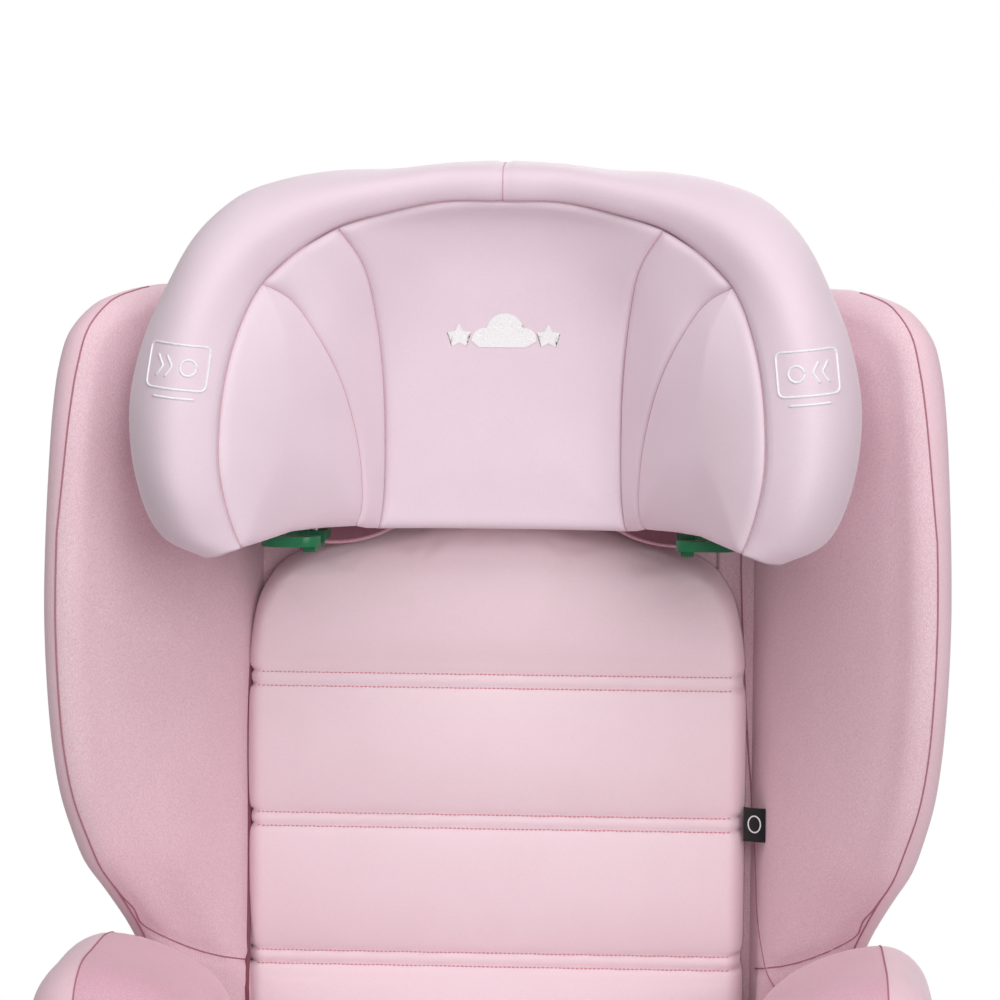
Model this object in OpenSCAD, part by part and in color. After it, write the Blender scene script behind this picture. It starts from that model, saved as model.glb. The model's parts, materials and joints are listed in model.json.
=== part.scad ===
// High-back booster seat for a car: base with armrests, reclining backrest
// with shoulder wings, and a headrest that slides up the backrest.
// Millimetres. +Z is up, the seat faces -Y, and the origin is on the floor,
// under the middle of the seat. Every "right" part is at +X.

/* [Backrest] */
// Width over the shoulder wings
overall_w = 480; // [470:1:490]
// Height of the top of the backrest above the floor
back_top = 566; // [556:1:576]
// How far the shoulder wings reach forward of the backrest plate
wing_reach = 147; // [140:1:150]
// Width of the quilted back pad
pad_w = 278; // [268:1:282]

/* [Headrest] */
// Height of the top of the headrest above the floor, at its lowest position
head_top = 638; // [634:1:642]
// Height that the headrest can be raised
head_travel = 200; // [120:10:200]
// Pitch of the height positions
rack_pitch = 20; // [16:1:24]

/* [Base] */
// Width of the plastic tub at the floor
tub_w = 416; // [412:1:420]
// Height of the top of the seat cushion
seat_top = 139; // [136:1:142]
// Height of the top of the armrests
arm_top = 224; // [220:1:226]
// Distance between the centres of the two anchor connectors
anchor_span = 280; // [280:1:280]
// How far the anchor connectors extend
anchor_travel = 90; // [60:5:90]

/* [Hidden] */
$fn = 48;

gap = 0.3;           // clearance between neighbouring pieces
run_gap = 0.06;      // radial clearance of a pin in its bore
wall = 4;            // wall of the moulded shells

// Backrest plate and shoulder wings
plate_y = 130;       // front face of the backrest plate
rear_y = 172;        // rear edge of the backrest shell
back_low = 92;       // bottom of the backrest shell
wing_top = 571;      // top of the shoulder wings
wing_mid = 400;      // height where the wings reach furthest
wing_low = 95;       // height where the wing's front edge meets the plate
wing_cut = 122;      // bottom of the wing covers
flare = 33.2;        // angle of the wings from straight ahead
root_x = 132;        // where a wing's inner face meets the plate
root_y = 122;
wing_len = overall_w / 2 - 74; // length of a wing's section along its flare
pad_shift = -4;      // the pad is sewn in a little off the middle
pad_low = 126;       // bottom of the back pad

// Headrest
head_face_y = 64;    // front of the centre pad
head_back_y = 118;   // rear face of the headrest shell

// Base
hinge_y = 150;
hinge_z = 74;
rod_r = 5;
deck_z = 58;
tub_front = -200;
tub_rear = 186;
arm_in = 140;        // inner and outer faces of the armrests
arm_out = 234;
anchor_x = anchor_span / 2;
hook_y = 172;
hook_z = 33;
bar_y = 190;         // centre of the captured anchor bar
bar_z = 26;
bar_r = 3;
cross_y = -72;       // rear face of the bar that joins the two connectors

// Extrusions of outlines drawn in the XY, XZ and YZ planes
module up(z0, z1) { translate([0, 0, z0]) linear_extrude(height = z1 - z0) children(); }
module back(y0, y1) {
    translate([0, y1, 0]) rotate([90, 0, 0]) linear_extrude(height = y1 - y0) children();
}
module across(x0, x1) {
    translate([x0, 0, 0]) rotate([90, 0, 90]) linear_extrude(height = x1 - x0) children();
}
module both() { children(); mirror([1, 0, 0]) children(); }
module left() { mirror([1, 0, 0]) children(); }
module box(lo, hi) { translate(lo) cube(hi - lo); }
module rod_across(x0, x1, y, z, r) {
    translate([x0, y, z]) rotate([0, 90, 0]) cylinder(h = x1 - x0, r = r);
}
module rod_back(x, y0, y1, z, r) {
    translate([x, y1, z]) rotate([90, 0, 0]) cylinder(h = y1 - y0, r = r);
}
module rod_up(x, y, z0, z1, r) { translate([x, y, z0]) cylinder(h = z1 - z0, r = r); }

// Rectangle with round corners, centred on x = 0, from b0 to b1 along the second axis
module round_plate(w, b0, b1, r) {
    translate([-w / 2 + r, b0]) square([w - 2 * r, b1 - b0]);
    translate([-w / 2, b0 + r]) square([w, b1 - b0 - 2 * r]);
    for (sx = [-1, 1], y = [b0 + r, b1 - r]) translate([sx * (w / 2 - r), y]) circle(r);
}

// Catmull-Rom curve through points, with steps pieces a span
function mix(p, k, t) =
    let (a = p[max(k - 1, 0)], b = p[k], c = p[k + 1], d = p[min(k + 2, len(p) - 1)])
    0.5 * (2 * b + (c - a) * t + (2 * a - 5 * b + 4 * c - d) * t * t
        + (3 * b - a - 3 * c + d) * t * t * t);
function curve(p, steps) =
    [for (k = [0 : len(p) - 2], i = [0 : steps - 1]) mix(p, k, i / steps), p[len(p) - 1]];
function flip(p) = [for (i = [len(p) - 1 : -1 : 0]) [-p[i][0], p[i][1]]];
function mirrored(p) = concat(p, flip(p));

// ---------------------------------------------------------------- backrest

// Reach of a wing forward of the plate at height z
function wing_depth(z) = z >= wing_mid
    ? wing_reach * pow(1 - pow((z - wing_mid) / (wing_top - wing_mid), 6), 1 / 5)
    : wing_reach * (1 - pow((wing_mid - z) / (wing_mid - wing_low), 2));

// Side outline of a wing in the YZ plane, brought in by inset
module wing_outline(inset = 0) {
    n = 22;
    low = wing_cut + inset;
    high = wing_top - inset;
    polygon(concat([[rear_y - 2, high], [rear_y - 2, low]],
        [for (i = [0 : n]) let (s = sin(90 * i / n), z = low + (high - low) * s)
            [plate_y - wing_depth(wing_cut + (wing_top - wing_cut) * s) + inset, z]]));
}

// Point of a wing's XY section: s along the flare, t behind its inner face
function wing_at(s, t) =
    [root_x + s * sin(flare) + t * cos(flare), root_y - s * cos(flare) + t * sin(flare)];
module wing_section(points) { polygon([for (p = points) wing_at(p[0], p[1])]); }

module wing_slab(t0, t1, reach, inset) {
    intersection() {
        up(wing_cut, wing_top) wing_section([[0, t0], [reach, t0], [reach, t1], [0, t1]]);
        across(0, 300) wing_outline(inset);
    }
}

module back_outline(inset = 0) {
    round_plate(300 - 2 * inset, back_low + inset, back_top - inset, 26 - inset);
}
module boss_places() {
    for (sx = [-1, 1], z = [130, 330, 520]) translate([sx * 118, 0, z]) children();
}

module back_shell() {
    color("dimgray") difference() {
        union() {
            difference() {
                back(plate_y, rear_y) back_outline();
                back(plate_y + wall, rear_y + 1) back_outline(wall);
            }
            both() {
                wing_slab(16, 21, wing_len - 16, 18);
                box([55, plate_y + 1, 200], [58, 156, back_top - 2]);
                box([84, plate_y + 1, 86], [98, 160, back_low + 6]);
                box([84, hinge_y - 9, hinge_z], [98, hinge_y + 9, back_low + 1]);
                rod_across(84, 98, hinge_y, hinge_z, 11);
            }
            boss_places() rotate([-90, 0, 0]) translate([0, 0, plate_y + 1])
                cylinder(h = rear_y - plate_y - 1, r = 6);
        }
        box([-42, plate_y - 1, 462], [42, plate_y + wall + 1, back_top + 1]);
        box([-54.5, plate_y + wall, back_top - 6], [54.5, rear_y - 4, back_top + 1]);
        both() rod_across(83, 99, hinge_y, hinge_z, rod_r + run_gap);
        boss_places() rotate([-90, 0, 0]) translate([0, 0, rear_y - 22])
            cylinder(h = 23, r = 1.6);
    }
}

module back_rear_panel() {
    color("dimgray") difference() {
        union() {
            back(rear_y + gap, rear_y + wall) back_outline();
            for (sx = [-1, 1]) translate([sx * 82, 0, 0])
                back(rear_y + wall - 1, rear_y + wall + 3) round_plate(16, 150, 500, 8);
        }
        boss_places() rotate([-90, 0, 0]) translate([0, 0, rear_y]) cylinder(h = 8, r = 2.4);
        for (i = [0 : 4]) back(rear_y, rear_y + 8) round_plate(84, 160 + 22 * i, 168 + 22 * i, 4);
    }
}

module panel_screw(depth, head_r = 4, shank_r = 1.5) {
    rotate([-90, 0, 0]) {
        translate([0, 0, -depth]) cylinder(h = depth + 0.5, r = shank_r);
        cylinder(h = 2.2, r = head_r);
    }
}

module back_screws() {
    color("silver") boss_places() translate([0, rear_y + wall + gap, 0]) panel_screw(20);
}

module height_rack() {
    teeth = floor(head_travel / rack_pitch);
    color("silver") difference() {
        union() {
            box([-12, 166, 330], [12, rear_y, 556]);
            for (i = [0 : teeth]) across(-12, 12)
                polygon([[167, 345 + rack_pitch * i], [160, 349 + rack_pitch * i],
                    [160, 353 + rack_pitch * i], [167, 353 + rack_pitch * i]]);
        }
        for (z = [337, 549]) rod_back(0, 160, 180, z - 3, 1.6);
    }
}

module back_cover() {
    color("palevioletred") difference() {
        box([-131, 125.5, 98], [131, plate_y - gap, 560]);
        box([-45, 120, 452], [45, plate_y, 570]);
    }
}

// Front outline of the back pad in the XZ plane
pad_side = [[0, 446], [60, 445], [95, 435], [118, 419], [132, 394], [pad_w / 2 - 1, 365], [pad_w / 2, 335]];
module pad_outline(inset = 0) {
    half = concat([for (p = curve(pad_side, 3)) [max(p[0] - inset, 0), p[1] - inset]],
        [[pad_w / 2 - inset, pad_low + inset]]);
    polygon(mirrored(half));
}

// Space that the roots of the wings take behind the pad's edges
module wing_root_space(clear) {
    both() up(pad_low - 1, 460) wing_section([[-12, -clear], [90, -clear], [90, 30], [-12, 30]]);
}

module back_pad() {
    color("pink") difference() {
        translate([pad_shift, 0, 0]) difference() {
            back(92, 125) pad_outline();
            back(98, 126) pad_outline(6);
        }
        wing_root_space(0.5);
    }
}

module back_pad_foam() {
    color("ivory") difference() {
        translate([pad_shift, 0, 0]) back(98 + gap, 125) pad_outline(6 + gap);
        wing_root_space(1);
    }
}

module wing_cover() {
    color("palevioletred") difference() {
        intersection() {
            up(wing_cut, wing_top) wing_section([[0, 0], [wing_len - 6, 0], [wing_len, 4],
                [wing_len + 2, 10], [wing_len, 18], [wing_len - 8, 25], [10, 25], [10, 21.3],
                [wing_len - 60, 21.3], [0, 15.7]]);
            across(0, 300) wing_outline();
        }
        intersection() {
            up(wing_cut - 1, wing_top) wing_section([[-9, 15.7], [wing_len - 15.7, 15.7],
                [wing_len - 15.7, 21.3], [-9, 21.3]]);
            across(0, 300) wing_outline(17.5);
        }
        back(plate_y - gap, rear_y + 1) back_outline(-gap);
    }
}

module size_tag() { color("black") box([135.2, 93.4, 259], [147, 94.4, 279]); }

// ---------------------------------------------------------------- headrest

// Front outlines in the XZ plane, right half from the top centre to the bottom
head_rim_side = [[0, head_top], [58, 634], [96, 631], [126, 624], [150, 608], [172, 578], [187, 542],
    [194, 508], [192, 476], [184, 454], [172, 438], [158, 431], [145, 429], [131, 432]];
head_seam_side = [[0, 617], [34, 616], [65, 610], [88, 603], [109, 590], [125, 574], [134, 552], [140, 526],
    [142.5, 500], [142, 478], [138, 457], [130, 435]];
panel_seam_outer = [[125, 574], [107, 563], [92, 541], [82, 516], [76, 488], [74, 466], [74, 447], [78, 440]];
panel_seam_inner = [[88, 603], [76, 584], [69, 553], [66, 514], [65.5, 480], [66.5, 450], [68.5, 437]];

module rim_outline() { polygon(mirrored(concat(curve(head_rim_side, 2), [[112, 437], [74, 437]]))); }
module seam_outline() { polygon(mirrored(concat(curve(head_seam_side, 2), [[112, 437], [74, 437]]))); }
module head_shell_outline(inset = 0) {
    pts = curve([[0, 626], [58, 622], [96, 618], [120, 611], [140, 596], [160, 568], [174, 538], [181, 506],
        [179, 478], [170, 460], [155, 448], [130, 446], [100, 448], [60, 452]], 2);
    polygon(mirrored([for (p = pts) [max(p[0] - inset, 0), p[1] - inset * (p[1] > 530 ? 1 : -1)]]));
}

// Sections in the XY plane, right half from the centre front, round the wing, to the centre back
head_pad_front = [[0, head_face_y], [62, 62], [74, 42], [150, -58]];
module head_section_all() {
    polygon(mirrored(concat(head_pad_front,
        [[158, -63], [168, -64], [180, -60], [189, -50], [194, -35], [190, 5], [172, 45],
        [118, head_back_y], [0, head_back_y]])));
}
module head_section_pads() {
    polygon(mirrored(concat(head_pad_front, [[161, -49], [86, 51], [68, 88], [0, 88]])));
}
module head_section_liner() {
    polygon(mirrored([[0, 88.3], [68, 88.3], [86.3, 51.2], [160.8, -48], [170, -41], [178.6, -25.3],
        [107, 111.7], [0, 111.7]]));
}
module head_section_shell() {
    polygon(mirrored([[0, 112], [107.4, 112], [179, -25], [184, -22], [112, head_back_y], [0, head_back_y]]));
}

module head_shell() {
    color("dimgray") difference() {
        union() {
            intersection() {
                up(400, 700) head_section_shell();
                back(-100, 200) head_shell_outline();
            }
            both() box([107, 84, 441], [122, 90, 470]);
        }
        for (sx = [-1, 1], z = [488, 538]) rod_back(sx * 28, 100, 120, z, 2.2);
        both() rod_back(113.5, 80, 95, 445, 1.6);
    }
}

module head_liner() {
    color("white") difference() {
        intersection() {
            up(400, 700) head_section_liner();
            back(-100, 200) head_shell_outline(4);
        }
        both() box([105.5, 76, 440], [125.5, 92, 471]);
        for (sx = [-1, 1], z = [488, 538]) rod_back(sx * 28, 108, 113, z, 5);
    }
}

// One panel of the cover's inner side, cut out of the padded layer by its front outline
module head_panel(outline) {
    color("pink") intersection() {
        up(400, 700) head_section_pads();
        back(-100, 200) intersection() {
            polygon(outline);
            seam_outline();
        }
    }
}

module head_cover_centre() {
    edge = [for (p = curve(panel_seam_inner, 2)) [p[0] - gap / 2, p[1]]];
    head_panel(mirrored(concat([[0, 616.5], [34, 615.5], [65, 609.5]], edge)));
}
module head_cover_strip() {
    inner = [for (p = curve(panel_seam_inner, 2)) [p[0] + gap / 2, p[1]]];
    outer = [for (p = curve(panel_seam_outer, 2)) [p[0] - gap / 2, p[1]]];
    n = len(inner) - 1;
    head_panel(concat(inner, [for (i = [len(outer) - 1 : -1 : 0]) outer[i]], [[108, 589.5]]));
}
module head_cover_side() {
    outer = [for (p = curve(panel_seam_outer, 2)) [p[0] + gap / 2, p[1]]];
    edge = curve([[125, 573], [133.6, 551], [139.5, 526], [142, 500], [141.5, 478],
        [137.5, 457], [130.5, 438]], 2);
    head_panel(concat(edge, [[112, 438], [82, 439]], [for (i = [len(outer) - 1 : -1 : 0]) outer[i]]));
}

module head_cover_rim() {
    color("lavenderblush") difference() {
        intersection() {
            up(400, 700) head_section_all();
            back(-100, 200) rim_outline();
        }
        intersection() {
            up(400, 700) head_section_pads();
            back(-100, 200) seam_outline();
        }
        intersection() {
            up(400, 700) polygon(mirrored([[0, 87.9], [67.7, 87.9], [86, 50.8], [160.9, -49.2],
                [171, -42], [184.8, -23], [112.4, 119], [0, 119]]));
            back(-100, 200) head_shell_outline(-gap);
        }
        both() box([94, 0, 420], [130, 92, 447]);
        box([-108, 60, 400], [108, 130, 453]);
    }
}

// Elastic hem across the bottom of the cover
module head_cover_hem() {
    color("palevioletred") difference() {
        back(88, 90) polygon(mirrored(curve([[0, 451], [60, 449], [85, 447], [92, 445]], 2)));
        back(87, 91) polygon(mirrored(concat([[0, 437]],
            curve([[0, 441], [50, 439], [75, 430], [92, 432]], 2), [[93, 400]])));
    }
}

module head_screws() {
    color("silver") for (sx = [-1, 1], z = [488, 538]) translate([sx * 28, 112 - gap, z]) mirror([0, 1, 0]) {
        rotate([90, 0, 0]) cylinder(h = 16, r = 1.9);
        rotate([-90, 0, 0]) cylinder(h = 2, r = 4);
    }
}

module head_spine() {
    color("dimgray") difference() {
        union() {
            box([-52, 142, 200], [52, 150, 622]);
            both() box([16, head_back_y + gap, 476], [38, 143, 556]);
        }
        box([-10.5, 140, 344], [10.5, 151, 372]);
        for (sx = [-1, 1], z = [488, 538]) rod_back(sx * 28, 110, 136, z, 2.0);
        for (z = [230, 270]) back(141, 151) round_plate(60, z, z + 24, 8);
        both() back(141, 151) translate([30, 0]) round_plate(24, 390, 470, 8);
    }
}

// Guide that the squeeze handle slides in, clipped to the back of the spine
module handle_frame() {
    color("dimgray") union() {
        box([-50, 150 + gap, 611], [50, 164, 622]);
        both() box([44, 150 + gap, 576], [50, 164, 612]);
    }
}

// Squeeze handle behind the headrest, its pull rod and the pawl that it draws out of the rack
module adjust_handle() {
    color("gray") difference() {
        union() {
            box([-36, 151, 578], [36, 163, 592]);
            for (sx = [-1, 1]) rod_up(sx * 36, 157, 578, 592, 6);
            box([-8, 151, 560], [8, 157, 580]);
        }
        rod_up(0, 153.6, 555, 572, 2.5);
    }
}
module pull_rod() {
    color("silver") {
        rod_up(0, 153.6, 378, 572, 2.45);
        box([-4, 151, 372], [4, 156, 380]);
    }
}
module handle_spring() {
    turns = 5;
    color("silver") for (i = [0 : turns - 1]) translate([0, 157, 593.4 + 3.4 * i])
        rotate_extrude() translate([5.2, 0]) circle(0.7, $fn = 16);
}
module lock_pawl() {
    color("silver") union() {
        box([-9, 142.5, 347], [9, 152, 365]);
        across(-9, 9) polygon([[151, 353.4], [159.2, 353.4], [159.2, 358], [151, 362.5]]);
    }
}

// Shoulder belt guide: an open hook under the headrest wing, and the gate that closes it
module belt_guide() {
    color("seagreen") difference() {
        union() {
            up(431, 436.5) difference() {
                translate([112, 0]) round_plate(32, 6, 84, 9);
                translate([113, 0]) round_plate(14, 16, 74, 6);
                translate([96, 18]) square([12, 26]);
            }
            up(431, 440.7) translate([113.5, 0]) round_plate(13, 76, 83.7, 3);
            box([107, 78, 436], [120, 83.7, 462]);
        }
        rod_up(102, 50, 425, 445, 1.6 + run_gap);
        rod_back(113.5, 76, 86, 445, 2);
    }
}
module belt_gate_pins() {
    color("silver") both() rod_up(102, 50, 427.5, 441, 1.6);
}
module belt_gate() {
    color("mediumseagreen") difference() {
        union() {
            rod_up(102, 50, 427.6, 430.7, 5);
            box([98.5, 14, 427.6], [105.5, 50, 430.7]);
        }
        rod_up(102, 50, 425, 435, 1.6 + run_gap);
    }
}

// -------------------------------------------------------------------- base

// Side outline of an armrest in the YZ plane: a horn on a pillar, brought in by inset
arm_edge = [[-45, 132], [-52, 162], [-70, 166], [-104, 166], [-124, 176], [-132, 194],
    [-126, 213], [-106, arm_top - 1], [-60, arm_top], [-10, arm_top - 2], [22, 214], [44, 190],
    [68, 155], [84, 118], [86, 62]];
module arm_outline(inset = 0) {
    mid = [-22, 165];
    polygon([for (p = concat(curve(arm_edge, 3), [[-45, 62]])) let (v = p - mid)
        mid + v * (1 - inset / norm(v))]);
}

module tub_plan(inset = 0) {
    translate([0, (tub_front + tub_rear) / 2])
        round_plate(tub_w - 2 * inset, tub_front - (tub_front + tub_rear) / 2 + inset,
            tub_rear - (tub_front + tub_rear) / 2 - inset, 46 - inset);
}
module bottom_screw_places() {
    for (sx = [-1, 1], y = [-140, 0, 110]) translate([sx * 186, y, 0]) children();
}

module base_shell() {
    color("dimgray") difference() {
        union() {
            difference() {
                up(6, deck_z) tub_plan();
                up(5, deck_z - wall) tub_plan(wall);
            }
            difference() {
                box([-136, -192, deck_z - 1], [136, 100, 104]);
                box([-132, -188, deck_z - wall - 1], [132, 96, 100]);
            }
            both() {
                box([101, hinge_y - 10, deck_z - 1], [113, hinge_y + 10, hinge_z]);
                rod_across(101, 113, hinge_y, hinge_z, 12);
            }
            for (x = [-70, 70]) box([x - 1.5, -190, 45], [x + 1.5, 180, deck_z - 1]);
            for (y = [-120, -40, 40]) box([-200, y - 1.5, 45], [200, y + 1.5, deck_z - 1]);
            bottom_screw_places() rod_up(0, 0, 6, deck_z - 1, 6);
        }
        both() {
            box([anchor_x - 15.5, 170, 10], [anchor_x + 15.5, 190, 46]);
            rod_across(100, 114, hinge_y, hinge_z, rod_r + 0.02);
        }
        box([-46, -202, 12], [46, -190, 36]);
        bottom_screw_places() rod_up(0, 0, 5, 34, 1.6);
    }
}

module base_bottom_cover() {
    color("dimgray") difference() {
        up(2, 5.7) tub_plan(1);
        bottom_screw_places() {
            rod_up(0, 0, 1, 8, 2.4);
            rod_up(0, 0, 1, 4, 5);
        }
        for (y = [-90, -60, 60, 90]) up(1, 7) round_plate(120, y - 5, y + 5, 5);
    }
}
module base_screws() {
    color("silver") bottom_screw_places() {
        rod_up(0, 0, 2.1, 3.7, 4.5);
        rod_up(0, 0, 3.6, 26, 1.5);
    }
}
module base_feet() {
    color("black") for (sx = [-1, 1], y = [-140, 126]) translate([sx * 130, 0])
        up(0, 2) round_plate(76, y - 18, y + 18, 10);
}

module seat_foam() {
    color("ivory") box([-134, -190, 104 + gap], [134, 104, 112]);
}

// Cushion outline in the XY plane
module cushion_plan(inset = 0) { round_plate(272 - 2 * inset, -206 + inset, 86 - inset, 34 - inset); }
module seat_cushion() {
    color("pink") difference() {
        up(112 + gap, seat_top) cushion_plan();
        up(111, seat_top - 6) cushion_plan(6);
    }
}
module seat_cushion_foam() {
    color("ivory") up(112 + gap, seat_top - 6 - gap) cushion_plan(6 + gap);
}

// Fabric over the front of the tub and the thigh bolsters beside the cushion
module seat_cover() {
    color("palevioletred") difference() {
        intersection() {
            up(deck_z + gap, 130) difference() {
                translate([0, -57]) round_plate(440, -150, 103, 52);
                translate([-230, -46]) square([460, 160]);
            }
            union() {
                box([-220, -209, deck_z], [220, -45, 111.6]);
                both() across(arm_in, 220) polygon(concat([[-46, 100]],
                    curve([[-46, 124], [-110, 125], [-160, 122], [-190, 113], [-207, 98]], 3), [[-207, 90]]));
            }
        }
        box([-136 - gap, -192 - gap, 50], [136 + gap, 120, 112]);
        both() across(150, 240) arm_outline(-gap);
    }
}

// Padded armrest in two sewn parts: the horn above and the panel round the post below
module armrest_cover() {
    join_z = 164.5;
    color("plum") difference() {
        across(arm_in, arm_out) arm_outline();
        box([arm_in - 1, -60, join_z - gap], [arm_out + 1, 90, join_z]);
        across(arm_in + 42 - gap, arm_out - 16 + gap) arm_outline(13 - gap);
        box([arm_in + 42 - gap, -30 - gap, deck_z - 2], [arm_out - 16 + gap, 60 + gap, 84 + gap]);
    }
}

// Moulded cores of the armrests: each is a hollow horn on a post that sits on the tub's deck
module armrest_frames() {
    core_in = arm_in + 42;
    core_out = arm_out - 16;
    horn_root = -44;
    color("dimgray") both() difference() {
        union() {
            difference() {
                across(core_in, core_out) arm_outline(13);
                across(core_in - 1, core_out - wall) arm_outline(13 + wall);
            }
            box([core_in, -30, deck_z + gap], [core_out, 60, 84]);
        }
        box([arm_in, horn_root - gap, deck_z], [arm_out, horn_root, arm_top + 1]);
    }
}

// Green liner of the gap under the armrest, where the lap belt runs
module lap_belt_guide() {
    color("seagreen") difference() {
        union() {
            across(152, 219) polygon([[-46.5, 126.2], [-112, 126.6], [-112, 128.8], [-49, 129],
                [-55.6, 158.5], [-52.6, 159]]);
            rod_across(152, 219, -112, 128.2, 1.6);
        }
        across(140, 240) arm_outline(-gap);
    }
}

module hinge_rod() { color("silver") rod_across(-116, 116, hinge_y, hinge_z, rod_r); }

module anchor_guide() {
    color("silver") difference() {
        union() {
            box([anchor_x - 12.5, -70, 14.5], [anchor_x + 12.5, 146, 37.5]);
            for (y = [-60, 130]) box([anchor_x - 16, y, 6], [anchor_x + 16, y + 14, 15]);
        }
        box([anchor_x - 9.5, -71, 17.5], [anchor_x + 9.5, 147, 34.5]);
        box([anchor_x - 13, -71, 19.3], [anchor_x - 9, cross_y + anchor_travel + 3, 32.7]);
    }
}

// Anchor connectors: arms that slide out of the base, with a hook that closes on the car's bar
module anchor_arm() {
    color("silver") difference() {
        box([anchor_x - 9, -60, 18], [anchor_x + 9, 150, 34]);
        box([anchor_x - 7, -61, 20], [anchor_x + 7, 151, 32]);
        rod_up(anchor_x, 140, 15, 37, 2.6);
    }
}
module anchor_cross_bar() {
    color("silver") difference() {
        box([-anchor_x, cross_y - 16, 20], [anchor_x, cross_y, 32]);
        box([9 - anchor_x, cross_y - 14, 22], [anchor_x - 9, cross_y - 2, 30]);
    }
    color("silver") both() box([anchor_x - 9, cross_y - 16, 19], [anchor_x + 9, -60 - gap, 33]);
}

// Toothed strip ahead of the cross bar, and the bar that drops into it
module anchor_rack() {
    pitch = 10;
    color("silver") difference() {
        box([-10, -192, 20], [10, cross_y - 16 - gap, 26]);
        for (y = [-97 : -pitch : -190]) across(-11, 11)
            polygon([[y - 3, 27], [y - 3, 23], [y + 1, 23], [y + 3, 27]]);
    }
}
module anchor_housing() {
    half = bar_r + 0.6;
    slot = [[bar_y, bar_z - half], [203, bar_z - half], [213, bar_z - 9], [213, bar_z + 9],
        [203, bar_z + half], [bar_y, bar_z + half]];
    color("black") difference() {
        union() {
            box([anchor_x - 13, 150 + gap, 12], [anchor_x + 13, 205, 40]);
            across(anchor_x - 13, anchor_x + 13) translate([203, bar_z]) scale([0.6, 1]) circle(14);
        }
        across(anchor_x - 14, anchor_x + 14) polygon(slot);
        rod_across(anchor_x - 14, anchor_x + 14, bar_y, bar_z, half);
        box([anchor_x - 2.4, 162, 15], [anchor_x + 2.4, 214, 41]);
        rod_across(anchor_x - 14, anchor_x + 14, hook_y, hook_z, 2.5 + 0.02);
    }
}
module anchor_hook_pins() {
    color("silver") both() rod_across(anchor_x - 13, anchor_x + 13, hook_y, hook_z, 2.5);
}
module anchor_hook() {
    color("silver") difference() {
        across(anchor_x - 2, anchor_x + 2) union() {
            translate([hook_y, hook_z]) circle(6);
            polygon([[hook_y, 31], [195, 31], [195, 21], [201, 19], [204, 30], [200, 37.5], [hook_y, 38.5]]);
        }
        rod_across(anchor_x - 3, anchor_x + 3, hook_y, hook_z, 2.5 + run_gap);
    }
}
module anchor_button() {
    color("seagreen") union() {
        box([anchor_x - 9, 158, 40 + gap], [anchor_x + 9, 172, 43]);
        for (y = [160, 164, 168]) box([anchor_x - 8, y, 42.5], [anchor_x + 8, y + 2, 44.5]);
    }
}

// Pull handle at the front, with the bar that locks the connectors' travel
module anchor_release_handle() {
    color("gray") union() {
        back(-208, -198) translate([0, 24]) round_plate(84, -9, 9, 7);
        both() across(28, 34) polygon([[-199, 18], [-199, 28], [-112, 28], [-92, 20], [-92, 18]]);
    }
}
module anchor_lock_bar() {
    color("silver") union() {
        both() across(26, 36) polygon([[-112, 28.4], [-112, 34], [-94, 34], [-94, 21.4]]);
        box([-36, -106, 30], [36, -96, 34]);
        across(-8, 8) polygon([[-100, 31], [-100, 26.4], [-97, 26.4], [-96, 31]]);
    }
}

base_shell();
base_bottom_cover();
base_screws();
base_feet();
seat_foam();
seat_cushion_foam();
seat_cushion();
seat_cover();
left() armrest_cover();  // armrest_cover_left
armrest_cover();  // armrest_cover_right
armrest_frames();
left() lap_belt_guide();  // lap_belt_guide_left
lap_belt_guide();  // lap_belt_guide_right
hinge_rod();
left() anchor_guide();  // anchor_guide_left
anchor_guide();  // anchor_guide_right
back_shell();
back_rear_panel();
back_screws();
height_rack();
back_cover();
back_pad_foam();
back_pad();
left() wing_cover();  // wing_cover_left
wing_cover();  // wing_cover_right
size_tag();
head_shell();
head_liner();
head_spine();
head_screws();
head_cover_rim();
head_cover_centre();
left() head_cover_strip();  // head_cover_strip_left
head_cover_strip();  // head_cover_strip_right
left() head_cover_side();  // head_cover_side_left
head_cover_side();  // head_cover_side_right
head_cover_hem();
left() belt_guide();  // belt_guide_left
belt_guide();  // belt_guide_right
belt_gate_pins();
handle_frame();
adjust_handle();
pull_rod();
handle_spring();
lock_pawl();
left() belt_gate();  // belt_gate_left
belt_gate();  // belt_gate_right
left() anchor_arm();  // anchor_arm_left
anchor_arm();  // anchor_arm_right
anchor_cross_bar();
anchor_rack();
left() anchor_housing();  // anchor_housing_left
anchor_housing();  // anchor_housing_right
anchor_hook_pins();
left() anchor_hook();  // anchor_hook_left
anchor_hook();  // anchor_hook_right
left() anchor_button();  // anchor_button_left
anchor_button();  // anchor_button_right
anchor_release_handle();
anchor_lock_bar();
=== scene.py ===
import json
import math

import bpy
import bmesh
import numpy as np
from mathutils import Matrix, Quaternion, Vector
from mathutils.bvhtree import BVHTree


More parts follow.
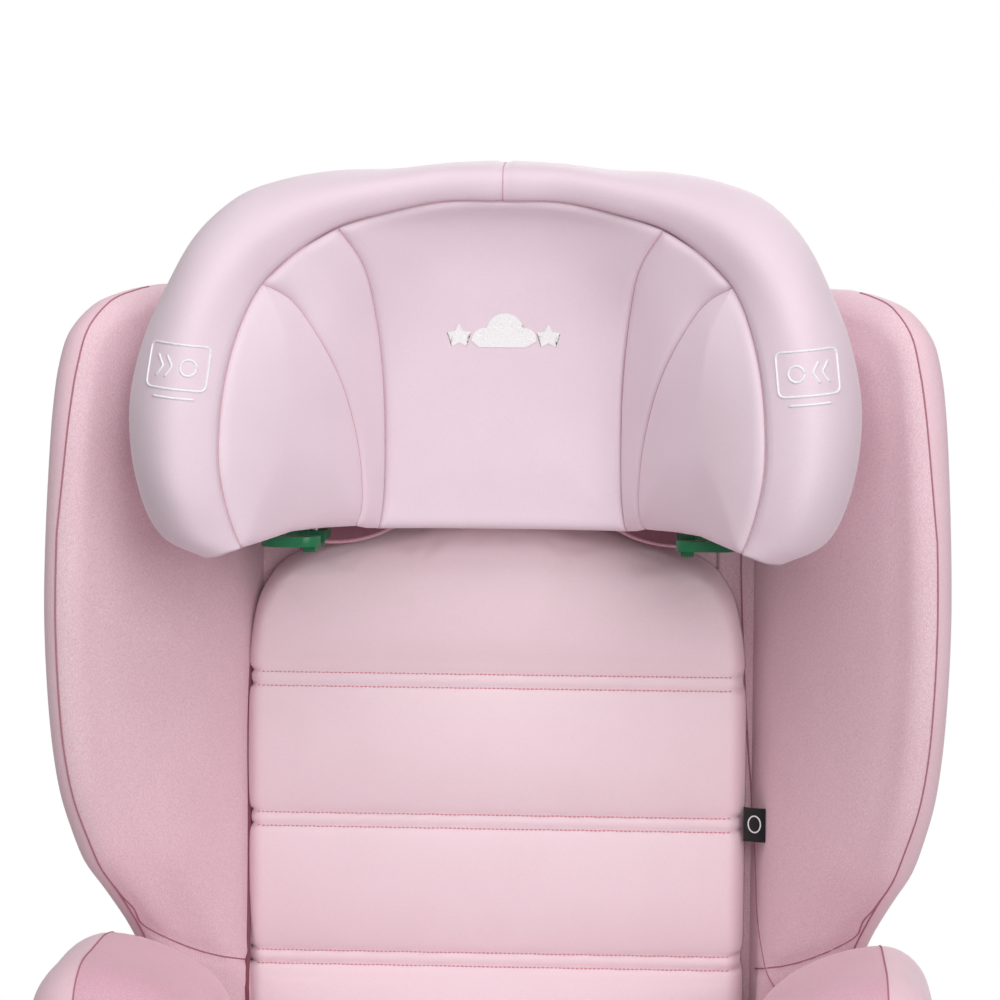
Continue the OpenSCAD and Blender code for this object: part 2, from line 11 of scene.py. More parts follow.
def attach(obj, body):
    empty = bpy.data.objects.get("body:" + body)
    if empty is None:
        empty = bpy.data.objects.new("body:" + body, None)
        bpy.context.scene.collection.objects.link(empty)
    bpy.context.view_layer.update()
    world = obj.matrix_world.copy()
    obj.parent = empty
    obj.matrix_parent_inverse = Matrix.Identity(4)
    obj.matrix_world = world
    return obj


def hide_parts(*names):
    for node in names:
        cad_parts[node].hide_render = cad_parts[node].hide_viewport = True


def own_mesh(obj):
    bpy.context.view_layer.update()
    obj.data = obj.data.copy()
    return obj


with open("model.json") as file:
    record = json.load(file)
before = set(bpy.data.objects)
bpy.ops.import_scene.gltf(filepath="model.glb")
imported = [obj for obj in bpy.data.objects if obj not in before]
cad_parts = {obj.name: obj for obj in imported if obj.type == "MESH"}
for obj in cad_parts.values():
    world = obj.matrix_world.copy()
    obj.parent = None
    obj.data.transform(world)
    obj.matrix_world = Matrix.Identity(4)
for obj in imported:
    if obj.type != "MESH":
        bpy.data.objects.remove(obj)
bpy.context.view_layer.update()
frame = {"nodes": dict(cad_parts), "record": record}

# A high-back booster seat: fabric covers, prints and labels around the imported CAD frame.
# Shapes are worked out in millimetres in the row's frame and stored in metres.

MM = 0.001
RNG = np.random.default_rng(7)

# ---------- materials


class Nodes:
    """A material's node tree around one Principled shader."""

    def __init__(self, name):
        self.material = bpy.data.materials.new(name)
        self.material.use_nodes = True
        self.tree = self.material.node_tree
        self.tree.nodes.clear()
        self.shader = self.node("BsdfPrincipled")
        self.link(self.shader.outputs[0], self.node("OutputMaterial").inputs[0])
        self.place = self.node("TexCoord").outputs["Object"]

    def node(self, kind, **values):
        """A new node; each value is set on the input of that name, with _ for a space."""
        n = self.tree.nodes.new("ShaderNode" + kind)
        for key, value in values.items():
            n.inputs[key.replace("_", " ")].default_value = value
        return n

    def link(self, a, b):
        self.tree.links.new(a, b)

    def noise(self, scale, stretch=(1, 1, 1), detail=3.0, rough=0.55):
        """Noise of about 1/scale metres, longer along an axis whose stretch is small."""
        mapping = self.node("Mapping", Scale=stretch)
        self.link(self.place, mapping.inputs[0])
        n = self.node("TexNoise", Scale=scale, Detail=detail, Roughness=rough)
        self.link(mapping.outputs[0], n.inputs["Vector"])
        return n.outputs[0]

    def cells(self, scale):
        n = self.node("TexVoronoi", Scale=scale)
        self.link(self.place, n.inputs["Vector"])
        return n.outputs["Distance"]

    def ribs(self, scale, distortion):
        n = self.node("TexWave", Scale=scale, Distortion=distortion)
        n.bands_direction = "X"
        self.link(self.place, n.inputs["Vector"])
        return n.outputs["Fac"]

    def ramp(self, value, stops):
        n = self.node("ValToRGB")
        while len(n.color_ramp.elements) < len(stops):
            n.color_ramp.elements.new(0.5)
        for e, (at, colour) in zip(n.color_ramp.elements, stops):
            e.position = at
            e.color = (*colour, 1)
        self.link(value, n.inputs[0])
        return n.outputs[0]

    def mix(self, kind, share, a, b):
        n = self.node("Mix")
        n.data_type = "RGBA"
        n.blend_type = kind
        n.inputs[0].default_value = share
        self.link(a, n.inputs[6])
        self.link(b, n.inputs[7])
        return n.outputs[2]

    def add(self, a, b, share):
        n = self.node("Math")
        n.operation = "MULTIPLY_ADD"
        n.inputs[1].default_value = share
        self.link(a, n.inputs[0])
        self.link(b, n.inputs[2])
        return n.outputs[0]

    def bump(self, height, depth, strength):
        n = self.node("Bump", Strength=strength, Distance=depth)
        self.link(height, n.inputs["Height"])
        self.link(n.outputs[0], self.shader.inputs["Normal"])

    def roughness(self, value, low, high):
        """Roughness that follows a value between two limits."""
        n = self.node("MapRange", To_Min=low, To_Max=high)
        self.link(value, n.inputs[0])
        self.link(n.outputs[0], self.shader.inputs["Roughness"])

    def set(self, **values):
        names = {"rough": "Roughness", "metal": "Metallic", "spec": "Specular IOR Level",
                 "sheen": "Sheen Weight", "sheen_rough": "Sheen Roughness"}
        for key, value in values.items():
            self.shader.inputs[names[key]].default_value = value

    def colour(self, socket):
        self.link(socket, self.shader.inputs["Base Color"])


def shade(colour, factor):
    return tuple(min(1.0, c * factor) for c in colour)


def smooth_knit(name, colour, deep):
    """Dense smooth knit: tiny stitch columns, faint cloudiness, soft sheen."""
    n = Nodes(name)
    cloud = n.ramp(n.noise(16, detail=2), [(0.3, deep), (0.62, colour)])
    columns = n.ramp(n.noise(2400, (1, 1, 0.4), 2),
                     [(0.35, (0.955, 0.94, 0.95)), (0.65, (1, 1, 1))])
    n.colour(n.mix("MULTIPLY", 0.8, cloud, columns))
    n.bump(n.add(n.noise(2300, (1, 1, 0.4), 2), n.noise(70, detail=2), 1.2), 0.00012, 0.4)
    n.roughness(n.noise(300), 0.52, 0.66)
    n.set(sheen=0.35, sheen_rough=0.4, spec=0.32)
    return n.material


def melange_knit(name, colours, fibre=2300, depth=0.00014):
    """Heathered knit: pale and deep fibres mixed along the wale."""
    n = Nodes(name)
    dark, mid, light = colours
    fibres = n.ramp(n.noise(fibre, (1, 1, 0.4), 3, 0.7),
                    [(0.32, dark), (0.5, mid), (0.68, light)])
    flecks = n.ramp(n.noise(1500, (1, 1, 0.6), 3, 0.75),
                    [(0.62, (1, 1, 1)), (0.74, (1.25, 1.35, 1.32))])
    cloud = n.ramp(n.noise(14, detail=2), [(0.3, (0.95, 0.93, 0.935)), (0.65, (1, 1, 1))])
    n.colour(n.mix("MULTIPLY", 0.8, n.mix("MULTIPLY", 0.7, fibres, flecks), cloud))
    n.bump(n.add(n.noise(2600, (1, 1, 0.5), 2), n.noise(1100, (1, 1, 0.5), 3), 0.5), depth, 0.5)
    n.roughness(n.noise(400), 0.72, 0.86)
    n.set(sheen=0.35, sheen_rough=0.45, spec=0.2)
    return n.material


def moulded(name, colour, rough, grain=1400, depth=0.00008):
    """Moulded plastic with fine grain and faint cloudiness."""
    n = Nodes(name)
    n.colour(n.ramp(n.noise(24), [(0.3, shade(colour, 0.86)), (0.7, shade(colour, 1.12))]))
    n.bump(n.add(n.noise(grain, detail=2), n.noise(40, detail=1), 1.0), depth, 0.5)
    n.roughness(n.noise(180), rough - 0.06, rough + 0.08)
    n.set(spec=0.4)
    return n.material


def steel(name):
    """Drawn steel with fine lines along its length."""
    n = Nodes(name)
    lines = n.noise(900, (1, 0.03, 1), 3)
    n.colour(n.ramp(lines, [(0.3, (0.42, 0.43, 0.45)), (0.7, (0.63, 0.64, 0.66))]))
    n.roughness(lines, 0.26, 0.44)
    n.bump(lines, 0.00004, 0.4)
    n.set(metal=1.0)
    return n.material


def beads(name):
    """Expanded foam: a white mass of pressed beads."""
    n = Nodes(name)
    cells = n.cells(330)
    n.colour(n.ramp(cells, [(0.0, (0.86, 0.86, 0.84)), (0.8, (0.66, 0.66, 0.64))]))
    n.bump(cells, 0.0005, 0.5)
    n.set(rough=0.8, spec=0.2)
    return n.material


def ribbed(name, colour):
    """Elastic band with fine ribs."""
    n = Nodes(name)
    ribs = n.ribs(520, 0.3)
    bands = n.ramp(ribs, [(0.2, shade(colour, 0.62)), (0.8, shade(colour, 1.25))])
    fuzz = n.ramp(n.noise(1400), [(0.3, (0.8, 0.76, 0.78)), (0.6, (1, 1, 1))])
    n.colour(n.mix("MULTIPLY", 0.7, bands, fuzz))
    n.bump(n.add(ribs, n.noise(1500), 1.5), 0.00035, 0.7)
    n.set(rough=0.85, sheen=0.2, spec=0.2)
    return n.material


def plain_thread(name, colour, rough=0.7):
    n = Nodes(name)
    n.colour(n.ramp(n.noise(2500, detail=1), [(0.3, shade(colour, 0.8)), (0.7, shade(colour, 1.1))]))
    n.bump(n.noise(3000, detail=1), 0.0001, 0.4)
    n.set(rough=rough, spec=0.25)
    return n.material


def rubber(name):
    n = Nodes(name)
    n.colour(n.ramp(n.noise(60), [(0.3, (0.018, 0.018, 0.018)), (0.7, (0.035, 0.035, 0.035))]))
    n.bump(n.noise(900), 0.0002, 0.5)
    n.set(rough=0.85, spec=0.25)
    return n.material


MELANGE = ((0.70, 0.455, 0.52), (0.81, 0.575, 0.645), (0.90, 0.71, 0.765))
PINK = smooth_knit("smooth_knit", (0.825, 0.685, 0.755), (0.805, 0.66, 0.73))
PALE = smooth_knit("pale_knit", (0.805, 0.66, 0.735), (0.785, 0.635, 0.71))
PAD = smooth_knit("quilt_knit", (0.915, 0.735, 0.79), (0.895, 0.71, 0.765))
HEATHER = melange_knit("heather_knit", MELANGE)
ARM_KNIT = melange_knit("heather_arm", ((0.61, 0.315, 0.40), (0.71, 0.41, 0.50), (0.80, 0.545, 0.625)))
BAND = melange_knit("heather_band", ((0.76, 0.50, 0.575), (0.81, 0.57, 0.64), (0.85, 0.63, 0.70)),
                    2600, 0.00008)
MAUVE = ribbed("mauve_elastic", (0.40, 0.18, 0.24))
# Seam threads, coloured darker than the knit so they also carry painted shade of the seams' creases; the soft
# pink one also serves the hem's piping.
SEAM_AND_CREASE_SHADE = plain_thread("seam_thread_and_crease_shade", (0.47, 0.20, 0.26), 0.85)
# Near-black maroon for the tube at the left pad's edge: painted shade for the deep gap there, not a seam.
GAP_SHADE = plain_thread("painted_gap_shade", (0.25, 0.085, 0.115), 0.9)
SOFT_SEAM_AND_SHADE = plain_thread("soft_seam_and_shade", (0.72, 0.43, 0.51), 0.85)
THREAD = plain_thread("stitch_thread", (0.80, 0.34, 0.41))
WHITE = plain_thread("white_print", (0.93, 0.92, 0.93), 0.5)
LABEL = ribbed("label_weave", (0.012, 0.012, 0.014))
SHELL = moulded("shell_plastic", (0.035, 0.035, 0.040), 0.55)
HANDLE = moulded("handle_plastic", (0.10, 0.10, 0.11), 0.42)
HOUSING = moulded("connector_plastic", (0.03, 0.03, 0.03), 0.45)
GREEN = moulded("green_plastic", (0.010, 0.155, 0.060), 0.36, 1100, 0.00005)
STEEL = steel("drawn_steel")
RUBBER = rubber("rubber")
FOAM = beads("bead_foam")

OF_SLOT = {"shell_plastic": SHELL, "handle_plastic": HANDLE, "connector_plastic": HOUSING,
           "green_plastic": GREEN, "steel": STEEL, "rubber": RUBBER, "foam": FOAM}

# ---------- curves and surfaces


def through(points, steps):
    """Centripetal curve through points, or through rows of points, with steps pieces a span."""
    p = np.asarray(points, float)
    p = np.concatenate([2 * p[:1] - p[1:2], p, 2 * p[-1:] - p[-2:-1]])
    gap = np.maximum(np.linalg.norm(np.diff(p, axis=0), axis=-1, keepdims=True), 1e-6) ** 0.5
    out = []
    for k in range(1, len(p) - 2):
        a, b, c = gap[k - 1], gap[k], gap[k + 1]
        m1 = b * ((p[k] - p[k - 1]) / a - (p[k + 1] - p[k - 1]) / (a + b) + (p[k + 1] - p[k]) / b)
        m2 = b * ((p[k + 1] - p[k]) / b - (p[k + 2] - p[k]) / (b + c) + (p[k + 2] - p[k + 1]) / c)
        for t in np.arange(steps) / steps:
            out.append((2 * t**3 - 3 * t**2 + 1) * p[k] + (t**3 - 2 * t**2 + t) * m1
                       + (-2 * t**3 + 3 * t**2) * p[k + 1] + (t**3 - t**2) * m2)
    out.append(p[-2])
    return np.array(out)


def at_shares(line, shares):
    """Points of a polyline at shares of its length."""
    line = np.asarray(line, float)
    run = np.concatenate([[0], np.cumsum(np.linalg.norm(np.diff(line, axis=0), axis=1))])
    want = np.asarray(shares) * run[-1]
    return np.stack([np.interp(want, run, line[:, k]) for k in range(line.shape[1])], axis=1)


def eased(n, ends=0.6):
    """n shares from 0 to 1, closer together near both ends."""
    t = np.linspace(0, 1, n)
    return (1 - ends) * t + ends * (0.5 - 0.5 * np.cos(math.pi * t))


def coons(low, high, start, end):
    """Grid between four edges: low and high run along columns, start and end along rows."""
    v = np.linspace(0, 1, len(start))[:, None, None]
    u = np.linspace(0, 1, len(low))[None, :, None]
    ruled = (1 - v) * low[None] + v * high[None]
    across = (1 - u) * start[:, None] + u * end[:, None]
    corners = ((1 - u) * (1 - v) * low[0] + u * (1 - v) * low[-1]
               + (1 - u) * v * high[0] + u * v * high[-1])
    return ruled + across - corners


def normals(grid, toward):
    """Unit normals of a grid, on the side that faces toward."""
    du = np.gradient(grid, axis=1)
    dv = np.gradient(grid, axis=0)
    n = np.cross(du, dv)
    size = np.linalg.norm(n, axis=-1, keepdims=True)
    mean = n.sum(axis=(0, 1))
    mean /= max(np.linalg.norm(mean), 1e-9)
    n = np.where(size > 1e-6, n / np.maximum(size, 1e-6), mean)
    return n if mean @ np.asarray(toward, float) > 0 else -n


def distance(points, line):
    """Shortest distance of each point from a polyline."""
    p = np.asarray(points, float)
    best = np.full(p.shape[:-1], 1e9)
    for a, b in zip(line[:-1], line[1:]):
        ab = b - a
        t = np.clip(((p - a) @ ab) / max(ab @ ab, 1e-12), 0, 1)
        best = np.minimum(best, np.linalg.norm(p - (a + t[..., None] * ab), axis=-1))
    return best


def border(grid):
    """Closed line round a grid's four edges."""
    return np.concatenate([grid[0], grid[1:, -1], grid[-1, -2::-1], grid[-2::-1, 0]])


def rise(d, radius, height):
    """Quarter-round rise from a seam."""
    return height * np.sqrt(1 - (1 - np.clip(d / radius, 0, 1)) ** 2)


def crown(d, height):
    """Broad swell, highest far from the seams."""
    share = d / max(d.max(), 1e-6)
    return height * share * (2 - share)


# ---------- meshes


def grid_faces(rows, cols, start=0, wrap=False):
    faces = []
    for i in range(rows - 1):
        for j in range(cols if wrap else cols - 1):
            k = (j + 1) % cols
            faces.append((start + i * cols + j, start + i * cols + k,
                          start + (i + 1) * cols + k, start + (i + 1) * cols + j))
    return faces


def slab(front, back):
    """Closed solid between two grids of the same size."""
    rows, cols = front.shape[:2]
    count = rows * cols
    points = np.concatenate([front.reshape(-1, 3), back.reshape(-1, 3)])
    faces = grid_faces(rows, cols) + grid_faces(rows, cols, count)
    ring = border(np.arange(count).reshape(rows, cols)).tolist()
    return points, faces + [(a, b, b + count, a + count) for a, b in zip(ring, ring[1:])]


def tube(line, radius, sides=6):
    """Closed round tube along a polyline, with tapered ends."""
    line = np.asarray(line, float)
    along = np.gradient(line, axis=0)
    along /= np.maximum(np.linalg.norm(along, axis=1, keepdims=True), 1e-9)
    ref = np.array([0.3, -0.8, 0.52])
    side = np.cross(along, ref)
    side /= np.maximum(np.linalg.norm(side, axis=1, keepdims=True), 1e-9)
    other = np.cross(along, side)
    turn = np.arange(sides) * 2 * math.pi / sides
    rings = (line[:, None] + radius * (np.cos(turn)[None, :, None] * side[:, None]
                                       + np.sin(turn)[None, :, None] * other[:, None]))
    points = np.concatenate([rings.reshape(-1, 3), line[:1], line[-1:]])
    count = len(line) * sides
    faces = grid_faces(len(line), sides, 0, True)
    for j in range(sides):
        k = (j + 1) % sides
        faces.append((k, j, count))
        faces.append((count - sides + j, count - sides + k, count + 1))
    return points, faces


def joined(parts):
    points, faces, start = [], [], 0
    for p, f in parts:
        points.append(np.asarray(p, float))
        faces += [tuple(v + start for v in face) for face in f]
        start += len(p)
    return np.concatenate(points), faces


def mirror(part):
    p, f = part
    return np.asarray(p, float) * (-1, 1, 1), [tuple(reversed(face)) for face in f]


SIDES = (("left", mirror), ("right", lambda part: part))


def both(part):
    """A part made for the right side, with its mirror image."""
    return joined([part, mirror(part)])


def piece(name, part, material, body, replaces=(), weld=0.02):
    """A mesh piece from points in mm and faces, riding on a CAD body."""
    points, faces = part
    mesh = bpy.data.meshes.new(name)
    mesh.from_pydata((np.asarray(points) * MM).tolist(), [], faces)
    work = bmesh.new()
    work.from_mesh(mesh)
    if weld:
        bmesh.ops.remove_doubles(work, verts=work.verts, dist=weld * MM)
    bmesh.ops.dissolve_degenerate(work, edges=work.edges, dist=0.001 * MM)
    bmesh.ops.recalc_face_normals(work, faces=work.faces)
    work.to_mesh(mesh)
    work.free()
    mesh.shade_smooth()
    obj = bpy.data.objects.new(name, mesh)
    bpy.context.scene.collection.objects.link(obj)
    mesh.materials.append(material)
    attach(obj, body)
    if replaces:
        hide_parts(*replaces)
    return obj


def thicken(obj, thickness, offset):
    """Gives an open skin its fabric's thickness (mm)."""
    cloth = obj.modifiers.new("cloth", "SOLIDIFY")
    cloth.thickness = thickness * MM
    cloth.offset = offset


def tree_of(objects):
    """Search tree over the rest meshes of several pieces."""
    points, faces, start = [], [], 0
    for o in objects:
        points += [v.co.copy() for v in o.data.vertices]
        faces += [tuple(v + start for v in p.vertices) for p in o.data.polygons]
        start = len(points)
    return BVHTree.FromPolygons(points, faces)


def cast(tree, start, direction):
    """Point and normal (mm) where a ray from start (mm) meets the tree, or None."""
    hit, normal = tree.ray_cast(Vector(start) * MM, Vector(direction).normalized())[:2]
    if hit is None:
        return None
    n = np.array(normal)
    if n @ np.asarray(direction, float) > 0:
        n = -n
    return np.array(hit) / MM, n

# ---------- headrest

# Right half of the cover's rim: inner seam, front crest, side outline, outer middle, rear corner, rear hem.
# Thirteen stations run from the top centre, round the wing, to its lower tip.
RIM_SEAM = [(0, 42, 617), (33, 40, 616.5), (65, 30, 610), (88, 20, 603), (108, 6, 590), (125, -10, 573),
            (134, -28, 553), (140, -44, 527), (142.5, -53, 500), (142, -57, 477), (138, -55, 456),
            (134, -52, 443), (131, -50, 436)]
RIM_CREST = [(0, 42, 630), (32, 39, 629), (63, 29, 624), (90, 17, 618), (113, 2, 609), (133, -16, 594),
             (149, -34, 573), (160, -50, 546), (166, -60, 518), (168, -65, 492), (164, -66, 464),
             (156, -60, 443), (143, -53, 434)]
RIM_SIDE = [(0, 60, 635.5), (30, 58, 634), (60, 52, 630.5), (92, 43, 629), (117, 31, 624.5),
            (140, 18, 615.5), (159.5, 6, 597), (174, -6, 569.5), (184.5, -18, 542), (190, -29, 508),
            (185, -36, 469), (173, -38, 443.5), (151, -38, 432.5)]
RIM_OUTER = [(0, 95, 633.5), (31, 95, 632), (60, 92, 629), (88, 88, 626.5), (108, 86, 620.5),
             (128.5, 82, 609), (142, 75, 587), (150, 68, 556), (157, 62, 528), (162, 55, 498),
             (157, 50, 467), (143, 48, 448.5), (127, 45, 442)]
RIM_BACK = [(0, 117, 628), (31, 117, 627), (60, 116.8, 624.8), (86, 116.8, 622), (108.5, 117.2, 618),
            (120.5, 117.2, 609.5), (117.5, 116.8, 586), (115, 116.4, 556), (115, 116.4, 532),
            (115, 116.4, 505), (115, 116.4, 477), (114.6, 116, 458), (110, 115, 449)]
RIM_HEM = [(x, 117.6, z) for x, z in (
    (0, 614), (31, 612.5), (60, 610), (84, 605), (97, 595), (103, 578), (105, 557), (105.5, 535),
    (105.5, 514), (105.5, 492), (105.5, 474), (105.5, 462), (104, 452))]
SEAM_OUTER = [(125, -10, 573), (111, 2, 564), (96, 12, 542), (86, 22, 520), (79, 32, 493), (76, 36, 471),
              (76, 38, 449), (79, 38, 440)]
SEAM_INNER = [(87, 20, 602), (75, 34, 582), (69, 48, 552), (66, 56, 519), (65.5, 60, 485), (66.5, 60, 452),
              (68.5, 58, 437)]
CENTRE_LINE = [(0, 42, 617), (0, 52, 609), (0, 60, 590), (0, 64, 560), (0, 65, 520), (0, 65, 480),
               (0, 64, 450), (0, 63, 437)]
PAD_FOOT = [(79, 38, 440), (95, 14, 441), (109, -8, 441), (121, -30, 438), (131, -50, 436)]
GROOVE = 1.9     # how far a panel rises beside its seam
CLOTH = 1.2      # thickness of the fabric under the headrest
FRONT = (0, -1, 0)

seam_line = through(RIM_SEAM, 8)


def head_rim():
    """The cover's rim: a skin over six rows of points and its mirror image, raised beside the seam."""
    rows = np.array([RIM_SEAM, RIM_CREST, RIM_SIDE, RIM_OUTER, RIM_BACK, RIM_HEM], float)
    along = through(np.swapaxes(rows, 0, 1), 7)
    grid = np.swapaxes(through(np.swapaxes(along, 0, 1), 8), 0, 1)
    n = normals(grid, (0.5, -0.8, 0.3))
    d = distance(grid, seam_line)
    lift = rise(d, 7, 3.2)
    top = rise(np.abs(grid[..., 0]), 5, 1.5) - 1.5
    grid = grid + n * (lift + top)[..., None]
    grid[:, 0] = through(RIM_SEAM, 7)
    grid[0, :, 0] = 0
    part = (grid.reshape(-1, 3), grid_faces(*grid.shape[:2]))
    obj = piece("head_rim", both(part), PALE, "headrest", ["head_cover_rim"], weld=0.05)
    work = bmesh.new()
    work.from_mesh(obj.data)
    facing = sum((f.normal * f.calc_area() for f in work.faces if f.calc_center_median().y < 0), Vector())
    if facing.y > 0:
        bmesh.ops.reverse_faces(work, faces=work.faces)
        work.to_mesh(obj.data)
    work.free()
    thicken(obj, 2.0, -1)
    return obj


def head_panel(name, grid, depth, swell, node, radius=5.5):
    """A padded panel: rises from its seams and swells in the middle. A node ending in _ has two sides."""
    n = normals(grid, FRONT)
    d = distance(grid, border(grid))
    front = grid + n * (rise(d, radius, GROOVE) + crown(d, swell))[..., None]
    back = grid - n * depth
    part = slab(front, back)
    sides = SIDES if node.endswith("_") else (("", lambda form: form),)
    return [piece(name + side, fix(part), PINK, "headrest", [node + side])
            for side, fix in sides]


def centre_grid():
    rows = eased(64, 0.3)
    mid = at_shares(through(CENTRE_LINE, 8), rows)
    edge = at_shares(through(SEAM_INNER, 8), rows)
    share = np.linspace(0, 1, 30)
    curve = share ** 2.4
    half = mid[:, None] * (1 - curve[None, :, None]) + edge[:, None] * curve[None, :, None]
    half[..., 0] = share[None] * edge[:, None, 0]
    return np.concatenate([(half * (-1, 1, 1))[:, :0:-1], half], axis=1)


rim = head_rim()
centre = head_panel("head_centre_panel", centre_grid(), 9, 2.2, "head_cover_centre")[0]

inner_line, outer_line = through(SEAM_INNER, 8), through(SEAM_OUTER, 8)
shares = eased(60, 0.3)
strip_in, strip_out = at_shares(inner_line, shares), at_shares(outer_line, shares)
top_edge = at_shares([(87, 20, 602), (108, 6, 590), (125, -10, 573)], np.linspace(0, 1, 14))
foot_edge = at_shares([(68.5, 58, 437), (74, 48, 438), (79, 38, 440)], np.linspace(0, 1, 14))
strip_grid = coons(top_edge, foot_edge, strip_in, strip_out)
head_panel("head_strip_", strip_grid, 8, 1.2, "head_cover_strip_", radius=5)

PAD_CORNER = 40      # index on the seam line where the side pad's tip is
side_out = at_shares(seam_line[PAD_CORNER:], shares)
side_cols = 34
tip = np.repeat(strip_out[:1], side_cols, axis=0)
side_grid = coons(tip, at_shares(PAD_FOOT, np.linspace(0, 1, side_cols)), strip_out, side_out)
head_panel("head_side_pad_", side_grid, 8, 7.0, "head_cover_side_")


def rim_top_seam():
    """Seam where the rim's two halves meet at the top centre."""
    line = through([(0.0, y, z) for y, z in ((41.5, 617.5), (41, 627), (50, 637.5), (68, 639), (95, 637.5),
                                             (112, 629), (119, 618))], 8)
    line = line + (0, -0.1, 0)
    tree = tree_of([rim])
    out = []
    for k, p in enumerate(line):
        t = k / (len(line) - 1)
        d = np.array([0, math.cos(1.9 * t - 0.3), -math.sin(1.9 * t - 0.3) - 0.2])
        found = cast(tree, p - 25 * d, d)
        if found is not None:
            out.append(found[0] + 0.1 * found[1])
    piece("head_rim_seam", tube(out, 0.5, 5), SOFT_SEAM_AND_SHADE, "headrest", weld=0)


rim_top_seam()


def head_underside():
    """Fabric that closes the headrest's underside, from the pads' feet to the rear hem."""
    front = through([(0, 66, 438), (35, 65, 438), (68, 60, 438.5), (79, 42, 441), (95, 18, 442),
                     (109, -4, 442), (121, -26, 440), (131, -46, 438), (143, -50, 434), (150, -37, 431)], 6)
    back = through([(0, 118, 451), (36, 118, 451), (66, 118, 451), (84, 118, 451), (97, 118, 450),
                    (107, 114, 449), (116, 88, 446), (127, 45, 441.5), (142, 0, 436), (150, -36, 431)], 6)
    t = np.linspace(0, 1, 14)[:, None, None]
    grid = (1 - t) * front[None] + t * back[None]
    grid[..., 2] += 3.0 * np.sin(math.pi * t[..., 0])
    part = slab(grid, grid + (0, 0, CLOTH))
    piece("head_underside", both(part), HEATHER, "headrest")


head_underside()


def head_hem():
    """Elastic flap under the headrest, in front of the back pad's top edge."""
    low = through([(0, 88.4, 441), (45, 88.4, 439.5), (60, 88.4, 436), (72, 88.2, 430.5), (86, 87.6, 427),
                   (100, 86.8, 426.5), (113, 86, 428.5), (123, 85.4, 432)], 6)
    high = through([(0, 88.4, 447), (45, 88.4, 447), (60, 88.4, 446.5), (72, 88.4, 446), (86, 88, 445.5),
                    (100, 87.2, 445), (113, 86.6, 444), (122, 86, 442)], 6)
    low, high = (np.concatenate([(line * (-1, 1, 1))[:0:-1], line]) for line in (low, high))
    t = np.linspace(0, 1, 10)[:, None, None]
    grid = (1 - t) * low[None] + t * high[None]
    flap = piece("head_hem", slab(grid, grid + (0, 1.1, 0)), MAUVE, "headrest",
                 ["head_cover_hem"])
    pipe = piece("head_hem_piping", tube(low + (0, 0.4, 0), 1.1, 8), SOFT_SEAM_AND_SHADE, "headrest")


head_hem()


def crease(name, lines, body, radius, material):
    """Seam lines (mm), each with its mirror image, as thin raised threads."""
    piece(name, joined([both(tube(line, radius, 5)) for line in lines]), material, body, weld=0)


crease("head_seams", [at_shares(line, np.linspace(0, 1, count)) for line, count in
                      ((seam_line, 120), (inner_line, 60), (outer_line, 60))],
       "headrest", 0.42, SOFT_SEAM_AND_SHADE)

# ---------- wings

ROOT = (132.0, 122.0)
FLARE = math.radians(33.2)
WING_TOP, WING_LOW = 571.0, 122.0
# The wing's outline: (height, length along the flare)
WING_EDGE = through([
    (110, 14), (122, 24), (140, 42), (160, 61), (180, 79), (200, 94.5), (215, 105), (228, 116), (240, 127),
    (255, 141), (275, 152), (295, 160.5), (320, 166.5), (350, 170.5), (390, 173), (424, 172.5),
    (470, 169.5), (507, 165.5), (530, 160.5), (547, 152.5), (561, 134), (567, 112), (570, 85),
    (571.2, 50), (571.6, 10)], 8)
NOSE = 12.4      # half the thickness of a wing's padded edge


def wing_at(s, t, z):
    """Point of a wing: s along its flare, t behind its inner face, at height z."""
    return np.stack([ROOT[0] + s * math.sin(FLARE) + t * math.cos(FLARE),
                     ROOT[1] - s * math.cos(FLARE) + t * math.sin(FLARE), z], axis=-1)


def wing_reach(z):
    """Length of the wing along its flare at height z."""
    return np.interp(z, WING_EDGE[:, 0], WING_EDGE[:, 1])


def wing_heights(count):
    """Heights from the wing's foot to its top, closer together near the top."""
    return WING_LOW + 0.3 + (WING_TOP - WING_LOW - 1.2) * np.sin(np.linspace(0, 1, count) * math.pi / 2)


def wing_face(s, zz, inner):
    """Points of the wing's inner or outer face at lengths s and heights zz."""
    z = wing_heights(240)
    reach = np.maximum(wing_reach(z), 3.0)
    outline = np.concatenate([[(-5, z[0])], np.stack([reach, z], -1), [(-5, z[-1])]])
    d = distance(np.stack([s, zz], -1), outline)
    half = rise(d, NOSE, NOSE)
    along = np.clip((s - 16) / np.maximum(wing_reach(zz) - 16, 10), 0, 1)
    swell = 8.5 * np.sin(math.pi * along ** 0.85) ** 1.3 * np.clip(d / 30, 0, 1)
    tucked = 8.0 * (1 - np.clip((s + 5) / 48, 0, 1)) ** 2
    if inner:
        return wing_at(s, NOSE - half - swell + tucked, zz)
    return wing_at(s, NOSE + half + 0.2 * swell, zz)


def reach_at(z):
    return float(wing_reach(np.array([float(z)]))[0])


# Seam that leaves the padded edge above the armrest and sweeps inward to the wing's root: (length, height)
SWEEP = [(reach_at(243) - 1.2, 243), (reach_at(235) - 1.5, 235), (113.5, 228),
         (106.5, 219), (96, 211.5), (79, 203), (58, 195), (30, 188), (12, 184)]


